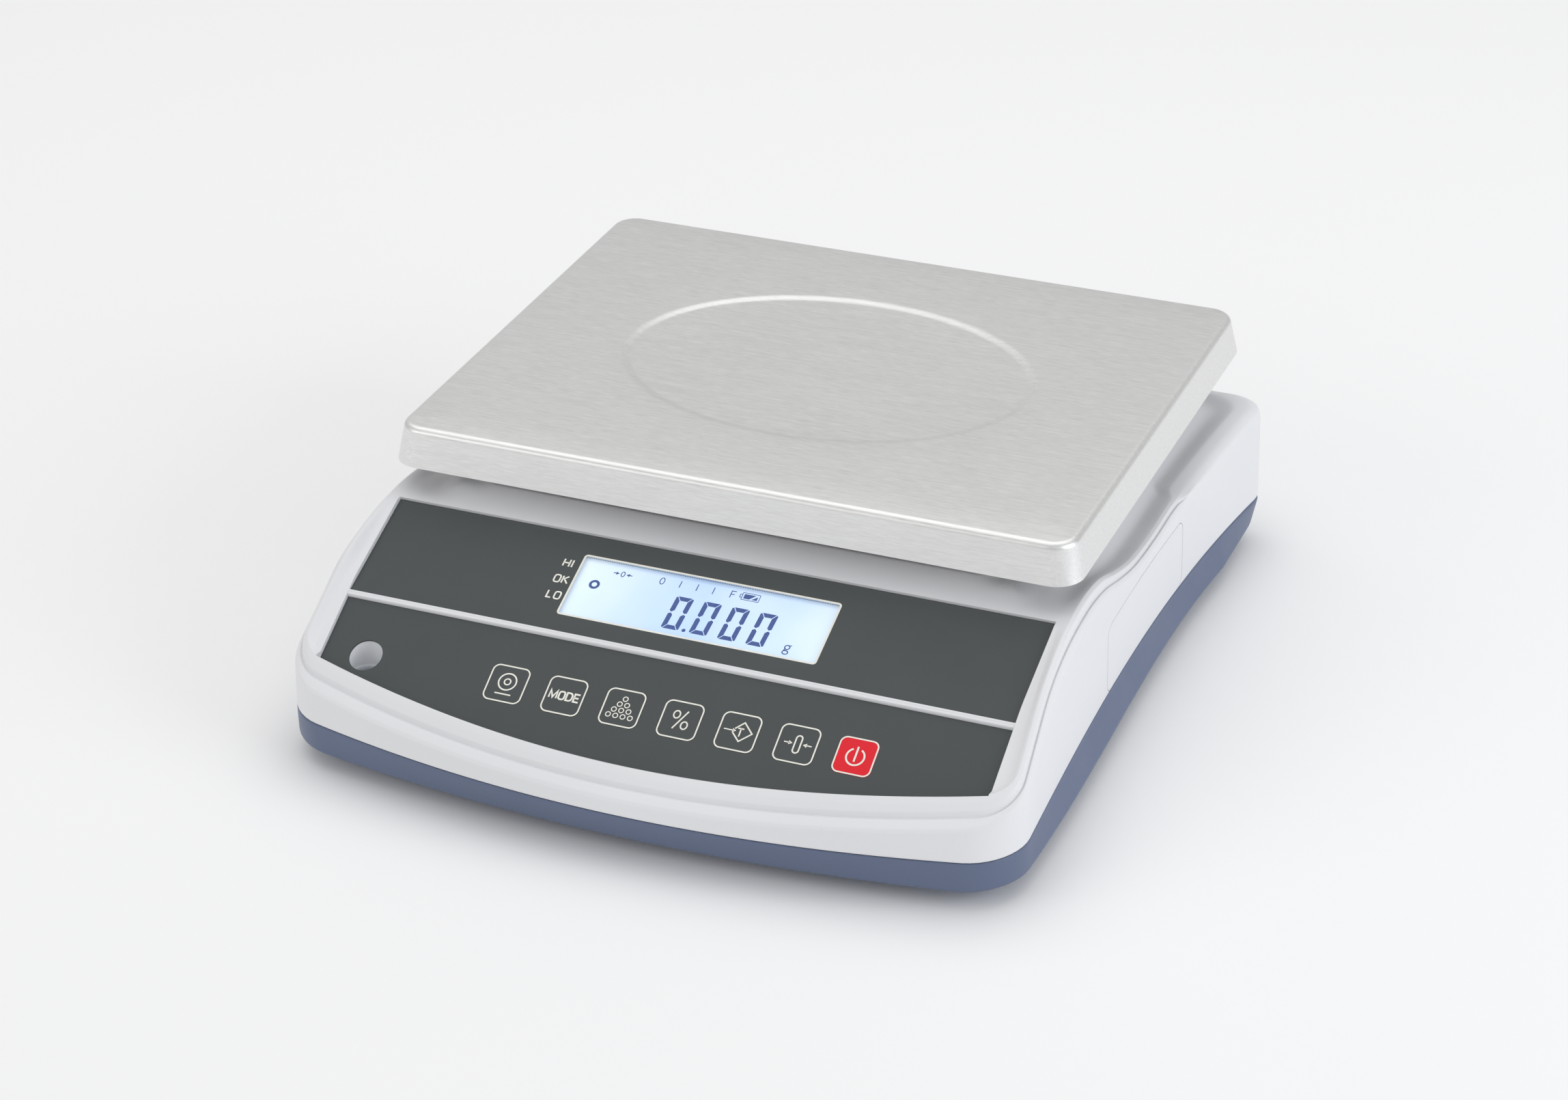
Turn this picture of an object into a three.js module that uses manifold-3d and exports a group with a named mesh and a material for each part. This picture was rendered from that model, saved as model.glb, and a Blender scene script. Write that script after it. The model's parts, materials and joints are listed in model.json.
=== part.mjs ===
// A counting scale: a bench scale with a stainless steel pan on a single point load cell,
// a two-part plastic housing, a sloping front panel with seven keys and a display,
// and four levelling feet.
//
// Millimetres. X is the width, Y runs from the front to the rear, Z is up.
// The origin is on the table, under the middle of the housing.
import * as THREE from "three";
import { ParametricGeometry } from "three/addons/geometries/ParametricGeometry.js";
import { mergeVertices } from "three/addons/utils/BufferGeometryUtils.js";
import Module from "manifold-3d";

const wasm = await Module();
wasm.setup();

// ---- Driving dimensions -------------------------------------------------------------

const GAP = 0.3; // between pieces that touch
const WALL = 2.5; // housing wall

// Heights above the table
const BASE_BOTTOM = 7.6;
const PARTING = 22; // where the two halves of the housing meet
const PLATEAU = 86; // raised deck under the pan
const VALLEY = 61; // gutter between the plateau and the rim
const PAN_TOP = 110;

// Housing outline: the front is bowed, the sides are waisted
const FRONT = -175;
const REAR = 175;
const FRONT_BOW = 565;
const BASE_BOW = 783;
const FRONT_CORNER = 20;
const REAR_CORNER = 14;

// Plateau under the pan
const PLATEAU_HALF_WIDTH = 121;
const PLATEAU_FRONT = -52;
const PLATEAU_REAR = 150;

// Pan
const PAN_Y = 57;
const PAN_WIDTH = 300;
const PAN_DEPTH = 230;
const PAN_CORNER = 11;
const PAN_FOLD = 3;
const PAN_SKIRT = 17.5;
const PAN_FLARE = 2.7;
const PAN_SHEET = 1;
const OVAL = { rx: 91, ry: 65.5, slope: 4, depth: 0.9 };

// Front panel: two flat plates in one recess, the lower one steeper
const PANEL_HALF_WIDTH = 146;
const PANEL_LIP = 1.9; // height of the rim over the plates at their sides
const PLATE = 0.8;
const UPPER = { y: -64.3, z: 78.5, tilt: 21.1, length: 50.8 };
const LOWER = { y: -113.9, z: 58, tilt: 29.2, length: 51, bow: 536 };
const RIB = 1.6; // height of the rib between the two plates

// Display
const WINDOW = { x: 1.9, y: -26.1, w: 114.4, h: 32.4 };

// Keys, in the lower plate
const KEY = { size: 17, corner: 3.2, y: -24.7, travel: 0.5 };
const KEY_X = [-62.9, -37.1, -11.5, 13.9, 38.8, 63.9, 88.6];
const KEY_NAMES = ["hold", "mode", "count", "percent", "tare", "zero", "power"];

// Bubble level, in the lower plate
const LEVEL = { x: -127.3, y: -24.9, r: 7.2, wall: 1, floor: 26 };

// Load cell, a single point beam along X
const CELL = { length: 150, width: 25, height: 40, bottom: 22.6 };
const CELL_END = 57; // from the middle of the beam to the middle of each bolted end
const SUPPORT_BOTTOM = 95;
const SUPPORT_THICK = 6;
const PAD = { x: 96, y: 64, r: 8 };

// Chassis plate and feet
const CHASSIS = { halfWidth: 136, front: -142, rear: 162, bottom: 16, thick: 2 };
const FOOT = { x: 124, front: -114, rear: 146, stud: 4, knob: 9.5 };

// Cover in the right side wall
const COVER = { front: -22, rear: 77, bottom: 22.6, top: 54.5 };

// Connectors in the rear wall, [x, z]
const JACK = [-128, 44];
const PORT = [-94, 44];

// ---- Materials ----------------------------------------------------------------------

function material(color, roughness, metalness = 0, extra = {}) {
  return new THREE.MeshStandardMaterial({ color, roughness, metalness, ...extra });
}

const WHITE_CASE = material(0xe4e5e8, 0.45);
const BLUE_CASE = material(0x66708c, 0.5);
const OVERLAY_FILM = material(0x545858, 0.55);
const KEY_FILM = material(0x565a5a, 0.5);
const RED_FILM = material(0xe5323c, 0.45);
const STAINLESS = material(0xc8c8c6, 0.32, 1);
const ALUMINIUM = material(0xb6b8ba, 0.4, 1);
const ZINC_STEEL = material(0xa9adb0, 0.38, 1);
const BLACK_RUBBER = material(0x1f2022, 0.9);
const CLEAR = material(0xdfe8ee, 0.08, 0, { transparent: true, opacity: 0.35 });
const LCD_GLASS = material(0xd6e2f7, 0.2);
const BACKLIGHT = material(0xf2f6fb, 0.6);
const CIRCUIT_BOARD = material(0x1f6a43, 0.55);
const BATTERY_WRAP = material(0x2b6fb0, 0.45);
const BLACK_PLASTIC = material(0x26282a, 0.55);
const GREY_PLASTIC = material(0xb4b5b8, 0.5);

// ---- Solids from three.js geometry --------------------------------------------------

const UNTURNED = new THREE.Matrix4();

// A closed geometry, moved by a matrix, as a solid that can be joined and cut.
function solid(geometry, matrix = UNTURNED) {
  const plain = geometry.clone().applyMatrix4(matrix);
  plain.deleteAttribute("normal");
  plain.deleteAttribute("uv");
  const merged = mergeVertices(plain, 1e-4);
  const corners = merged.index.array;
  const kept = [];
  for (let i = 0; i < corners.length; i += 3) {
    const [a, b, c] = corners.slice(i, i + 3);
    if (a !== b && b !== c && c !== a) kept.push(a, b, c);
  }
  return new wasm.Manifold(
    new wasm.Mesh({
      numProp: 3,
      vertProperties: merged.attributes.position.array,
      triVerts: new Uint32Array(kept),
    }),
  );
}

// The surface of a solid, for a mesh.
function surface(shape) {
  const made = shape.getMesh();
  const geometry = new THREE.BufferGeometry();
  geometry.setAttribute("position", new THREE.BufferAttribute(made.vertProperties, 3));
  geometry.setIndex(new THREE.BufferAttribute(made.triVerts, 1));
  geometry.computeVertexNormals();
  return geometry;
}

function join(first, ...others) {
  return others.reduce((sum, next) => sum.add(next), first);
}

function cut(first, ...others) {
  return others.reduce((rest, next) => rest.subtract(next), first);
}

function moved(x, y, z) {
  return new THREE.Matrix4().makeTranslation(x, y, z);
}

// A flat shape pushed up from z = bottom to z = top.
function prism(shape, bottom, top, matrix = UNTURNED) {
  const geometry = new THREE.ExtrudeGeometry(shape, {
    depth: top - bottom,
    bevelEnabled: false,
    curveSegments: 4,
  });
  return solid(geometry, matrix.clone().multiply(moved(0, 0, bottom)));
}

// A shape drawn in (y, z) and pushed along X from x0 to x1.
function sideways(shape, x0, x1) {
  const turn = new THREE.Matrix4().makeBasis(
    new THREE.Vector3(0, 1, 0),
    new THREE.Vector3(0, 0, 1),
    new THREE.Vector3(1, 0, 0),
  );
  return prism(shape, x0, x1, turn);
}

// A shape drawn in (x, z) and pushed along Y from y0 to y1.
function lengthways(shape, y0, y1) {
  const turn = new THREE.Matrix4().makeBasis(
    new THREE.Vector3(1, 0, 0),
    new THREE.Vector3(0, 0, 1),
    new THREE.Vector3(0, -1, 0),
  );
  return prism(shape, -y1, -y0, turn);
}

function box(x0, x1, y0, y1, z0, z1, matrix = UNTURNED) {
  const middle = moved((x0 + x1) / 2, (y0 + y1) / 2, (z0 + z1) / 2);
  const geometry = new THREE.BoxGeometry(x1 - x0, y1 - y0, z1 - z0);
  return solid(geometry, matrix.clone().multiply(middle));
}

// A solid of revolution about a vertical line; the profile is [radius, height] pairs.
function turned(profile, x, y, steps = 16, matrix = UNTURNED) {
  const points = profile.map(([r, z]) => new THREE.Vector2(r, z));
  const upright = new THREE.Matrix4().makeRotationX(Math.PI / 2);
  const place = matrix.clone().multiply(moved(x, y, 0)).multiply(upright);
  return solid(new THREE.LatheGeometry(points, steps), place);
}

function cylinder(r, x, y, z0, z1, steps = 16, matrix = UNTURNED) {
  const profile = [[0, z0], [r, z0], [r, z1], [0, z1]];
  return turned(profile, x, y, steps, matrix);
}

function polygon(points) {
  return new THREE.Shape(points.map(([x, y]) => new THREE.Vector2(x, y)));
}

function roundedRectangle(x, y, w, h, r) {
  const shape = new THREE.Shape();
  const left = x - w / 2;
  const low = y - h / 2;
  shape.absarc(left + w - r, low + r, r, -Math.PI / 2, 0);
  shape.absarc(left + w - r, low + h - r, r, 0, Math.PI / 2);
  shape.absarc(left + r, low + h - r, r, Math.PI / 2, Math.PI);
  shape.absarc(left + r, low + r, r, Math.PI, Math.PI * 1.5);
  return shape;
}

// A closed skin through rings of equal length, first ring lowest; a ring of one repeated
// point closes an end.
function lofted(rings) {
  const count = rings[0].length;
  const last = rings.length - 1;
  const skin = (u, v, target) => {
    target.copy(rings[Math.round(v * last)][Math.round(u * count) % count]);
  };
  return solid(new ParametricGeometry(skin, count, last));
}

function ringAt(ring, heightAt) {
  return ring.map((p) => new THREE.Vector3(p.x, p.y, heightAt(p.x, p.y)));
}

function pole(ring, x, y, z) {
  return ring.map(() => new THREE.Vector3(x, y, z));
}

// ---- The housing's outline and heights ----------------------------------------------

const clamp = THREE.MathUtils.clamp;
const smoothstep = THREE.MathUtils.smoothstep;
const mix = THREE.MathUtils.lerp;

// Half the housing's width at the parting line, and at the bottom edge.
function partingHalfWidth(y) {
  const s = (y - 10) / 150;
  return 154.7 + 7.9 * s * s + 2.4 * s * s * s;
}

function baseHalfWidth(y) {
  const s = (Math.min(y, 120) - 35) / 130;
  return 159.5 + 6.3 * s * s + 4.5 * s * s * s;
}

// Height of the housing's top edge, and of the ledge below it, along Y. Both follow the
// sloping front panel, sink in an S-curve beside the pan and climb a little to the rear.
function curveThrough(points) {
  const spline = new THREE.SplineCurve(points.map(([y, z]) => new THREE.Vector2(y, z)));
  const table = spline.getPoints(120);
  return (y) => {
    const i = clamp(table.findIndex((p) => p.x > y), 1, table.length - 1);
    const [a, b] = y > table.at(-1).x ? table.slice(-2) : [table[i - 1], table[i]];
    return mix(a.y, b.y, clamp((y - a.x) / (b.x - a.x), 0, 1));
  };
}

const edgeHeight = curveThrough([
  [-180, 27], [-166, 34.3], [-150, 42.5], [-133, 51.5], [-115, 62.5], [-98, 71.5],
  [-80, 77], [-60, 80.3], [-42, 80.4], [-22, 77], [-2, 69.8], [14, 65], [28, 62.8],
  [48, 62.4], [70, 64.2], [100, 65.4], [130, 67.4], [155, 69.2], [180, 70],
]);
const ledgeHeight = curveThrough([
  [-180, 25], [-166, 31.3], [-150, 39], [-133, 47.5], [-115, 59], [-98, 69],
  [-75, 74.7], [-45, 75.8], [-22, 72.6], [-2, 66.6], [14, 62.6], [28, 60.8],
  [48, 60.6], [70, 62.3], [86, 62], [105, 61.2], [130, 62.6], [155, 64.2], [180, 65],
]);

const OUTLINE_STEPS = { front: 7, frontCorner: 5, side: 17, rearCorner: 4, rear: 3 };

// Points round the corner from "start" to "end" by way of "corner", without the last.
function cornerArc(start, corner, end, steps) {
  return Array.from({ length: steps }, (_, i) => {
    const angle = (i / steps) * (Math.PI / 2);
    const towardsStart = start.clone().sub(corner).multiplyScalar(1 - Math.sin(angle));
    const towardsEnd = end.clone().sub(corner).multiplyScalar(1 - Math.cos(angle));
    return corner.clone().add(towardsStart).add(towardsEnd);
  });
}

// A closed outline in plan, anticlockwise from the middle of the front. Every outline has
// the same number of points, so that any two can be joined by a skin.
function outline({ front, bow, halfWidth, rear, frontCorner, rearCorner }) {
  const at = (x, y) => new THREE.Vector2(x, y);
  const frontY = (x) => front + (x * x) / (2 * bow);
  const cornerX = halfWidth(frontY(halfWidth(front)));
  const corner = at(cornerX, frontY(cornerX));
  const arcStart = at(cornerX - frontCorner, frontY(cornerX - frontCorner));
  const sideStart = at(halfWidth(corner.y + frontCorner), corner.y + frontCorner);
  const sideEnd = at(halfWidth(rear - rearCorner), rear - rearCorner);
  const rearCornerPoint = at(halfWidth(rear), rear);
  const rearStart = at(rearCornerPoint.x - rearCorner, rear);
  const steps = OUTLINE_STEPS;
  const right = [];
  for (let i = 0; i < steps.front; i++) {
    const x = (arcStart.x * i) / steps.front;
    right.push(at(x, frontY(x)));
  }
  right.push(...cornerArc(arcStart, corner, sideStart, steps.frontCorner));
  for (let i = 0; i < steps.side; i++) {
    const y = mix(sideStart.y, sideEnd.y, i / steps.side);
    right.push(at(halfWidth(y), y));
  }
  right.push(...cornerArc(sideEnd, rearCornerPoint, rearStart, steps.rearCorner));
  for (let i = 0; i <= steps.rear; i++) {
    right.push(at(rearStart.x * (1 - i / steps.rear), rear));
  }
  const left = right.slice(1, -1).reverse().map((p) => at(-p.x, p.y));
  return [...right, ...left];
}

// The housing's outline moved in by a distance at its front, its sides and its rear.
function housingOutline(atFront, atSide, atRear) {
  return outline({
    front: FRONT + atFront,
    bow: FRONT_BOW,
    halfWidth: (y) => partingHalfWidth(y) - mix(atSide, atRear, smoothstep(y, 74, 92)),
    rear: REAR - atRear,
    frontCorner: Math.max(FRONT_CORNER - 0.8 * atFront, 8),
    rearCorner: REAR_CORNER,
  });
}

function baseOutline(inset) {
  return outline({
    front: -170 + inset,
    bow: BASE_BOW,
    halfWidth: (y) => baseHalfWidth(y) - inset,
    rear: REAR - 2 - inset,
    frontCorner: FRONT_CORNER,
    rearCorner: REAR_CORNER,
  });
}

function plateauOutline(inset) {
  return outline({
    front: PLATEAU_FRONT + inset,
    bow: 1e6,
    halfWidth: () => PLATEAU_HALF_WIDTH - inset,
    rear: PLATEAU_REAR - inset,
    frontCorner: 14,
    rearCorner: 14,
  });
}

// Height of the two plates' faces at y.
function panelHeight(y) {
  const onPlane = ({ y: top, z, tilt }) => z + (y - top) * Math.tan(THREE.MathUtils.degToRad(tilt));
  return Math.min(onPlane(UPPER), onPlane(LOWER));
}

// Height of the deck at (x, y), a fraction "across" of the way from the rim to the plateau.
function deckHeight(x, y, across) {
  const inside = smoothstep(partingHalfWidth(y) - 5 - Math.abs(x), 0, 4);
  const lip = Math.min(edgeHeight(y), panelHeight(y) + PANEL_LIP);
  const rim = mix(edgeHeight(y), lip, y < UPPER.y ? inside : 0);
  const climb = clamp((y + 64) / (PLATEAU_FRONT + 64), 0, 1) ** 2;
  const inFront = 1 - smoothstep(Math.abs(x), PLATEAU_HALF_WIDTH, PLATEAU_HALF_WIDTH + 14);
  const ahead = mix(rim, PLATEAU - 0.8, climb * inFront);
  const floor = Math.max(VALLEY, rim - 1.8);
  const gutter =
    across < 0.25
      ? mix(rim, floor, smoothstep(across, 0, 0.25))
      : mix(floor, PLATEAU - 0.8, smoothstep(across, 0.25, 1));
  return mix(ahead, gutter, smoothstep(y, -62, -30));
}

// ---- Housing ------------------------------------------------------------------------

// The top case before it is hollowed: wall, ledge, shoulder, rim, gutter and plateau.
function topCaseBlock() {
  const underLedge = (atFront, atSide) => (x, y) =>
    ledgeHeight(y) - mix(atFront, atSide, smoothstep(y, -160, -120));
  const aboveLedge = (part) => (x, y) => mix(ledgeHeight(y), edgeHeight(y), part);
  const rim = housingOutline(13.5, 5, 9);
  const plateau = plateauOutline(0);
  const across = [0.12, 0.25, 0.4, 0.55, 0.7, 0.85, 1];
  const deck = across.map((s) =>
    rim.map((p, i) => {
      const q = p.clone().lerp(plateau[i], s);
      return new THREE.Vector3(q.x, q.y, deckHeight(q.x, q.y, s));
    }),
  );
  const parting = housingOutline(0, 0, 0);
  return lofted([
    pole(parting, 0, PAN_Y, PARTING + GAP),
    ringAt(parting, () => PARTING + GAP),
    ringAt(housingOutline(2, 0.5, 0.4), underLedge(0.9, 2.6)),
    ringAt(housingOutline(3, 1, 0.6), underLedge(0.1, 1.5)),
    ringAt(housingOutline(7.5, 2.4, 0.9), underLedge(0.5, 0.2)),
    ringAt(housingOutline(8.6, 2.8, 1.6), aboveLedge(0.5)),
    ringAt(housingOutline(11, 3.5, 4), aboveLedge(0.78)),
    ringAt(rim, aboveLedge(1)),
    ...deck,
    ringAt(plateauOutline(3), () => PLATEAU),
    pole(parting, 0, PAN_Y, PLATEAU),
  ]);
}

// The plane of a front panel plate: x across, y up the slope, z out of the panel.
function panelPlane({ y, z, tilt }) {
  const turn = new THREE.Matrix4().makeRotationX(THREE.MathUtils.degToRad(tilt));
  return moved(0, y, z).multiply(turn);
}

const upperPlane = panelPlane(UPPER);
const lowerPlane = panelPlane(LOWER);

// A point of a panel plane as [y, z] of the housing, "depth" under the plate's face.
function underPanel(plane, along, depth) {
  const p = new THREE.Vector3(0, along, -depth).applyMatrix4(plane);
  return [p.y, p.z];
}

// Outline of the lower plate in its own plane; its front edge is bowed.
function lowerPlateShape(inset) {
  const halfWidth = PANEL_HALF_WIDTH - inset;
  const shape = new THREE.Shape();
  const steps = 16;
  shape.moveTo(halfWidth, -inset);
  shape.lineTo(-halfWidth, -inset);
  for (let i = 0; i <= steps; i++) {
    const x = mix(-halfWidth, halfWidth, i / steps);
    shape.lineTo(x, -LOWER.length + inset + (x * x) / (2 * LOWER.bow));
  }
  return shape;
}

// The recess for the two plates, open upwards, with a low rib left between them.
function panelRecess() {
  const floor = PLATE + GAP;
  const profile = polygon([
    underPanel(upperPlane, GAP, floor),
    underPanel(upperPlane, -UPPER.length, floor),
    underPanel(upperPlane, -UPPER.length - 0.3, -RIB + 0.6),
    underPanel(lowerPlane, 1.6, -RIB + 0.6),
    underPanel(lowerPlane, GAP, floor),
    underPanel(lowerPlane, -LOWER.length - 1, floor),
    underPanel(lowerPlane, -LOWER.length - 1, -40),
    underPanel(upperPlane, GAP, -40),
  ]);
  const long = sideways(profile, -PANEL_HALF_WIDTH - GAP, PANEL_HALF_WIDTH + GAP);
  const lower = prism(lowerPlateShape(-GAP), -floor, 60, lowerPlane);
  const upper = box(-200, 200, -UPPER.length - 4, 1, -9, 60, upperPlane);
  return long.intersect(join(lower, upper));
}

// The hollow of the housing under the panel, the gutter and the plateau.
function topCaseHollow() {
  const under = PLATE + GAP + WALL;
  const roof = VALLEY - WALL;
  const profile = polygon([
    [FRONT + 5, 10],
    [REAR - 4, 10],
    [REAR - 4, roof],
    [-44, roof],
    [-57, 71.5],
    underPanel(upperPlane, 0, under),
    underPanel(upperPlane, -UPPER.length, under),
    underPanel(lowerPlane, -LOWER.length + 4, under),
    [FRONT + 8, 27],
  ]);
  const inside = housingOutline(5, 4.8, 3);
  const plan = polygon(inside.map((p) => [p.x, p.y]));
  const room = sideways(profile, -170, 170).intersect(prism(plan, 9, 90));
  const w = PLATEAU_HALF_WIDTH - 6;
  const underPlateau = box(
    -w, w, PLATEAU_FRONT + 8, PLATEAU_REAR - 8, roof - 1, PLATEAU - WALL,
  );
  return join(room, underPlateau);
}

const BOSSES = [[-143, -100], [143, -100], [-142.5, 96], [142.5, 96], [-60, 160], [60, 160]];

function topCase() {
  const bosses = BOSSES.map(([x, y]) => {
    const roof = y < -90 ? 60.5 : 60;
    return cut(
      cylinder(4.5, x, y, PARTING, roof, 12),
      cylinder(2, x, y, PARTING - 1, 36, 12),
    );
  });
  const shell = cut(topCaseBlock(), topCaseHollow(), panelRecess());
  const { x, y, w, h } = WINDOW;
  const display = prism(roundedRectangle(x, y, w + 5, h + 5, 1), -12, 6, upperPlane);
  const keyWells = KEY_NAMES.flatMap((_, i) => {
    const side = KEY.size + 2 * GAP;
    const square = roundedRectangle(KEY_X[i], KEY.y, side, side, KEY.corner);
    return [
      prism(square, -PLATE - KEY.travel - GAP, 3, lowerPlane),
      cylinder(4, KEY_X[i], KEY.y, -12, 3, 12, lowerPlane),
    ];
  });
  const [levelY, levelZ] = underPanel(lowerPlane, LEVEL.y, 0);
  const levelWell = cylinder(LEVEL.r + LEVEL.wall + GAP, LEVEL.x, levelY, 20, levelZ + 12, 24);
  const cellHole = prism(roundedRectangle(CELL_END, PAN_Y, 46, 46, 4), 60, 95);
  const jack = lengthways(polygon(circlePoints(...JACK, 5.8, 20)), REAR - 5, REAR + 5);
  const serial = lengthways(roundedRectangle(...PORT, 31.6, 13.1, 1), REAR - 9, REAR + 5);
  return cut(
    join(shell, ...bosses), display, ...keyWells, levelWell, cellHole, jack, serial,
    coverOpening(0),
  );
}

function circlePoints(x, y, r, steps) {
  return Array.from({ length: steps }, (_, i) => {
    const angle = (i / steps) * Math.PI * 2;
    return [x + r * Math.cos(angle), y + r * Math.sin(angle)];
  });
}

// The room that the side cover takes, smaller all round by "inset".
function coverOpening(inset) {
  const y = (COVER.front + COVER.rear) / 2;
  const z = (COVER.bottom + COVER.top) / 2;
  const w = COVER.rear - COVER.front - 2 * inset;
  const h = COVER.top - COVER.bottom - 2 * inset;
  return sideways(roundedRectangle(y, z, w, h, 5), 140, 175);
}

// The cover is a piece of the wall itself, with two hooks at its lower edge.
function sideCover() {
  const wall = cut(topCaseBlock(), topCaseHollow()).intersect(coverOpening(GAP));
  const hooks = [0, 55].map((y) => box(147.5, 151, y, y + 8, 24, 30));
  return join(wall, ...hooks);
}

function bottomCase() {
  const parting = housingOutline(0, 0, 0);
  const block = lofted([
    pole(parting, 0, 0, BASE_BOTTOM),
    ringAt(baseOutline(1.5), () => BASE_BOTTOM),
    ringAt(baseOutline(0), () => BASE_BOTTOM + 1.5),
    ringAt(parting, () => PARTING - 1.5),
    ringAt(housingOutline(0.4, 0.4, 0.4), () => PARTING),
    pole(parting, 0, 0, PARTING),
  ]);
  const inside = housingOutline(8, 4.5, 5).map((p) => [p.x, p.y]);
  const hollow = prism(polygon(inside), BASE_BOTTOM + WALL, PARTING + 1);
  const posts = [];
  const holes = [];
  for (const [x, y] of BOSSES) {
    posts.push(cylinder(5, x, y, BASE_BOTTOM + 1, PARTING - GAP, 12));
    holes.push(cylinder(2.1, x, y, BASE_BOTTOM - 1, PARTING + 1, 12));
    holes.push(cylinder(3.8, x, y, BASE_BOTTOM - 1, BASE_BOTTOM + 2.4, 12));
  }
  for (const [x, y] of footPlaces()) {
    posts.push(cylinder(9, x, y, BASE_BOTTOM + 1, CHASSIS.bottom - GAP, 20));
    holes.push(cylinder(FOOT.stud + GAP, x, y, BASE_BOTTOM - 1, PARTING, 16));
  }
  return cut(join(cut(block, hollow), ...posts), ...holes);
}

// ---- Front panel --------------------------------------------------------------------

function displayOverlay() {
  const sheet = new THREE.Shape([
    new THREE.Vector2(-PANEL_HALF_WIDTH, -UPPER.length),
    new THREE.Vector2(PANEL_HALF_WIDTH, -UPPER.length),
    new THREE.Vector2(PANEL_HALF_WIDTH, 0),
    new THREE.Vector2(-PANEL_HALF_WIDTH, 0),
  ]);
  sheet.holes.push(roundedRectangle(WINDOW.x, WINDOW.y, WINDOW.w, WINDOW.h, 1.5));
  return prism(sheet, -PLATE, 0);
}

function keypadOverlay() {
  const sheet = lowerPlateShape(0);
  for (const i of KEY_NAMES.keys()) {
    const opening = KEY.size + 2 * GAP;
    sheet.holes.push(roundedRectangle(KEY_X[i], KEY.y, opening, opening, KEY.corner));
  }
  const eye = new THREE.Path();
  eye.absarc(LEVEL.x, LEVEL.y, LEVEL.r, 0, Math.PI * 2, true);
  sheet.holes.push(eye);
  return prism(sheet, -PLATE, 0);
}

// A key: the film square and the plunger under it that reaches the switch.
function keyCap(i) {
  const x = KEY_X[i];
  const cap = prism(roundedRectangle(x, KEY.y, KEY.size, KEY.size, KEY.corner), -PLATE, 0.15);
  return join(cap, cylinder(3.2, x, KEY.y, -6.5, -PLATE + 0.1, 10));
}

// Board under the lower plate with one push switch for each key.
function keyBoard() {
  const top = -11.5;
  const board = box(KEY_X[0] - 14, KEY_X[6] + 14, KEY.y - 13, KEY.y + 13, top - 1.6, top);
  const switches = KEY_NAMES.map((_, i) => {
    const x = KEY_X[i];
    const body = box(x - 3, x + 3, KEY.y - 3, KEY.y + 3, top - 0.2, top + 3.2);
    return join(body, cylinder(1.6, x, KEY.y, top + 3, top + 4.2, 10));
  });
  return join(board, ...switches);
}

function lcdWindow() {
  const { x, y, w, h } = WINDOW;
  return prism(roundedRectangle(x, y, w - 2 * GAP, h - 2 * GAP, 1.4), -PLATE, -0.1);
}

function displayLayer(margin, depth, thick) {
  const { x, y, w, h } = WINDOW;
  return box(
    x - w / 2 - margin, x + w / 2 + margin, y - h / 2 - margin, y + h / 2 + margin,
    -depth - thick, -depth,
  );
}

// Frame that clamps the glass and the light panel behind the opening in the case.
function displayFrame() {
  return cut(displayLayer(7, 4.2, 4.4), displayLayer(2.4, 3, 7));
}

function displayBoard() {
  const chips = [-30, 5, 40].map((x) => box(x, x + 14, -30, -20, -13, -10.6));
  return join(displayLayer(9, 9.2, 1.6), ...chips);
}

// Cup for the bubble level, cut off parallel to the sloping plate above it.
function levelCup() {
  const [y, z] = underPanel(lowerPlane, LEVEL.y, 0);
  const outer = cylinder(LEVEL.r + LEVEL.wall, LEVEL.x, y, LEVEL.floor, z + 12, 24);
  const inner = cylinder(LEVEL.r, LEVEL.x, y, LEVEL.floor + 1.5, z + 13, 24);
  const above = box(-170, -80, -80, 40, -PLATE - GAP, 60, lowerPlane);
  return cut(outer, inner, above);
}

function levelVial() {
  const [y] = underPanel(lowerPlane, LEVEL.y, 0);
  const low = LEVEL.floor + 1.5 + GAP;
  const r = LEVEL.r - GAP;
  const profile = [[0, low], [r, low], [r, low + 7], [r - 1, low + 8], [0, low + 8.4]];
  return turned(profile, LEVEL.x, y, 24);
}

// ---- Weighing platform --------------------------------------------------------------

// One ring of the pan: a rounded rectangle, smaller all round by "inset".
function panRing(inset, z) {
  const steps = 12;
  const corners = [[1, -1], [1, 1], [-1, 1], [-1, -1]];
  const r = Math.max(PAN_CORNER - Math.max(inset, -1), 0.5);
  return corners.flatMap(([sx, sy], quarter) =>
    Array.from({ length: steps + 1 }, (_, i) => {
      const angle = (quarter - 1 + i / steps) * (Math.PI / 2);
      const x = sx * (PAN_WIDTH / 2 - inset - r) + r * Math.cos(angle);
      const y = sy * (PAN_DEPTH / 2 - inset - r) + r * Math.sin(angle);
      return new THREE.Vector3(x, PAN_Y + y, z);
    }),
  );
}

// One ring of the pan's oval step, with the same number of points.
function ovalRing(grow, z) {
  const ring = panRing(0, z);
  const start = -Math.PI / 2;
  return ring.map((_, i) => {
    const angle = start + (i / ring.length) * Math.PI * 2;
    const x = (OVAL.rx + grow) * Math.cos(angle);
    return new THREE.Vector3(x, PAN_Y + (OVAL.ry + grow) * Math.sin(angle), z);
  });
}

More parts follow.
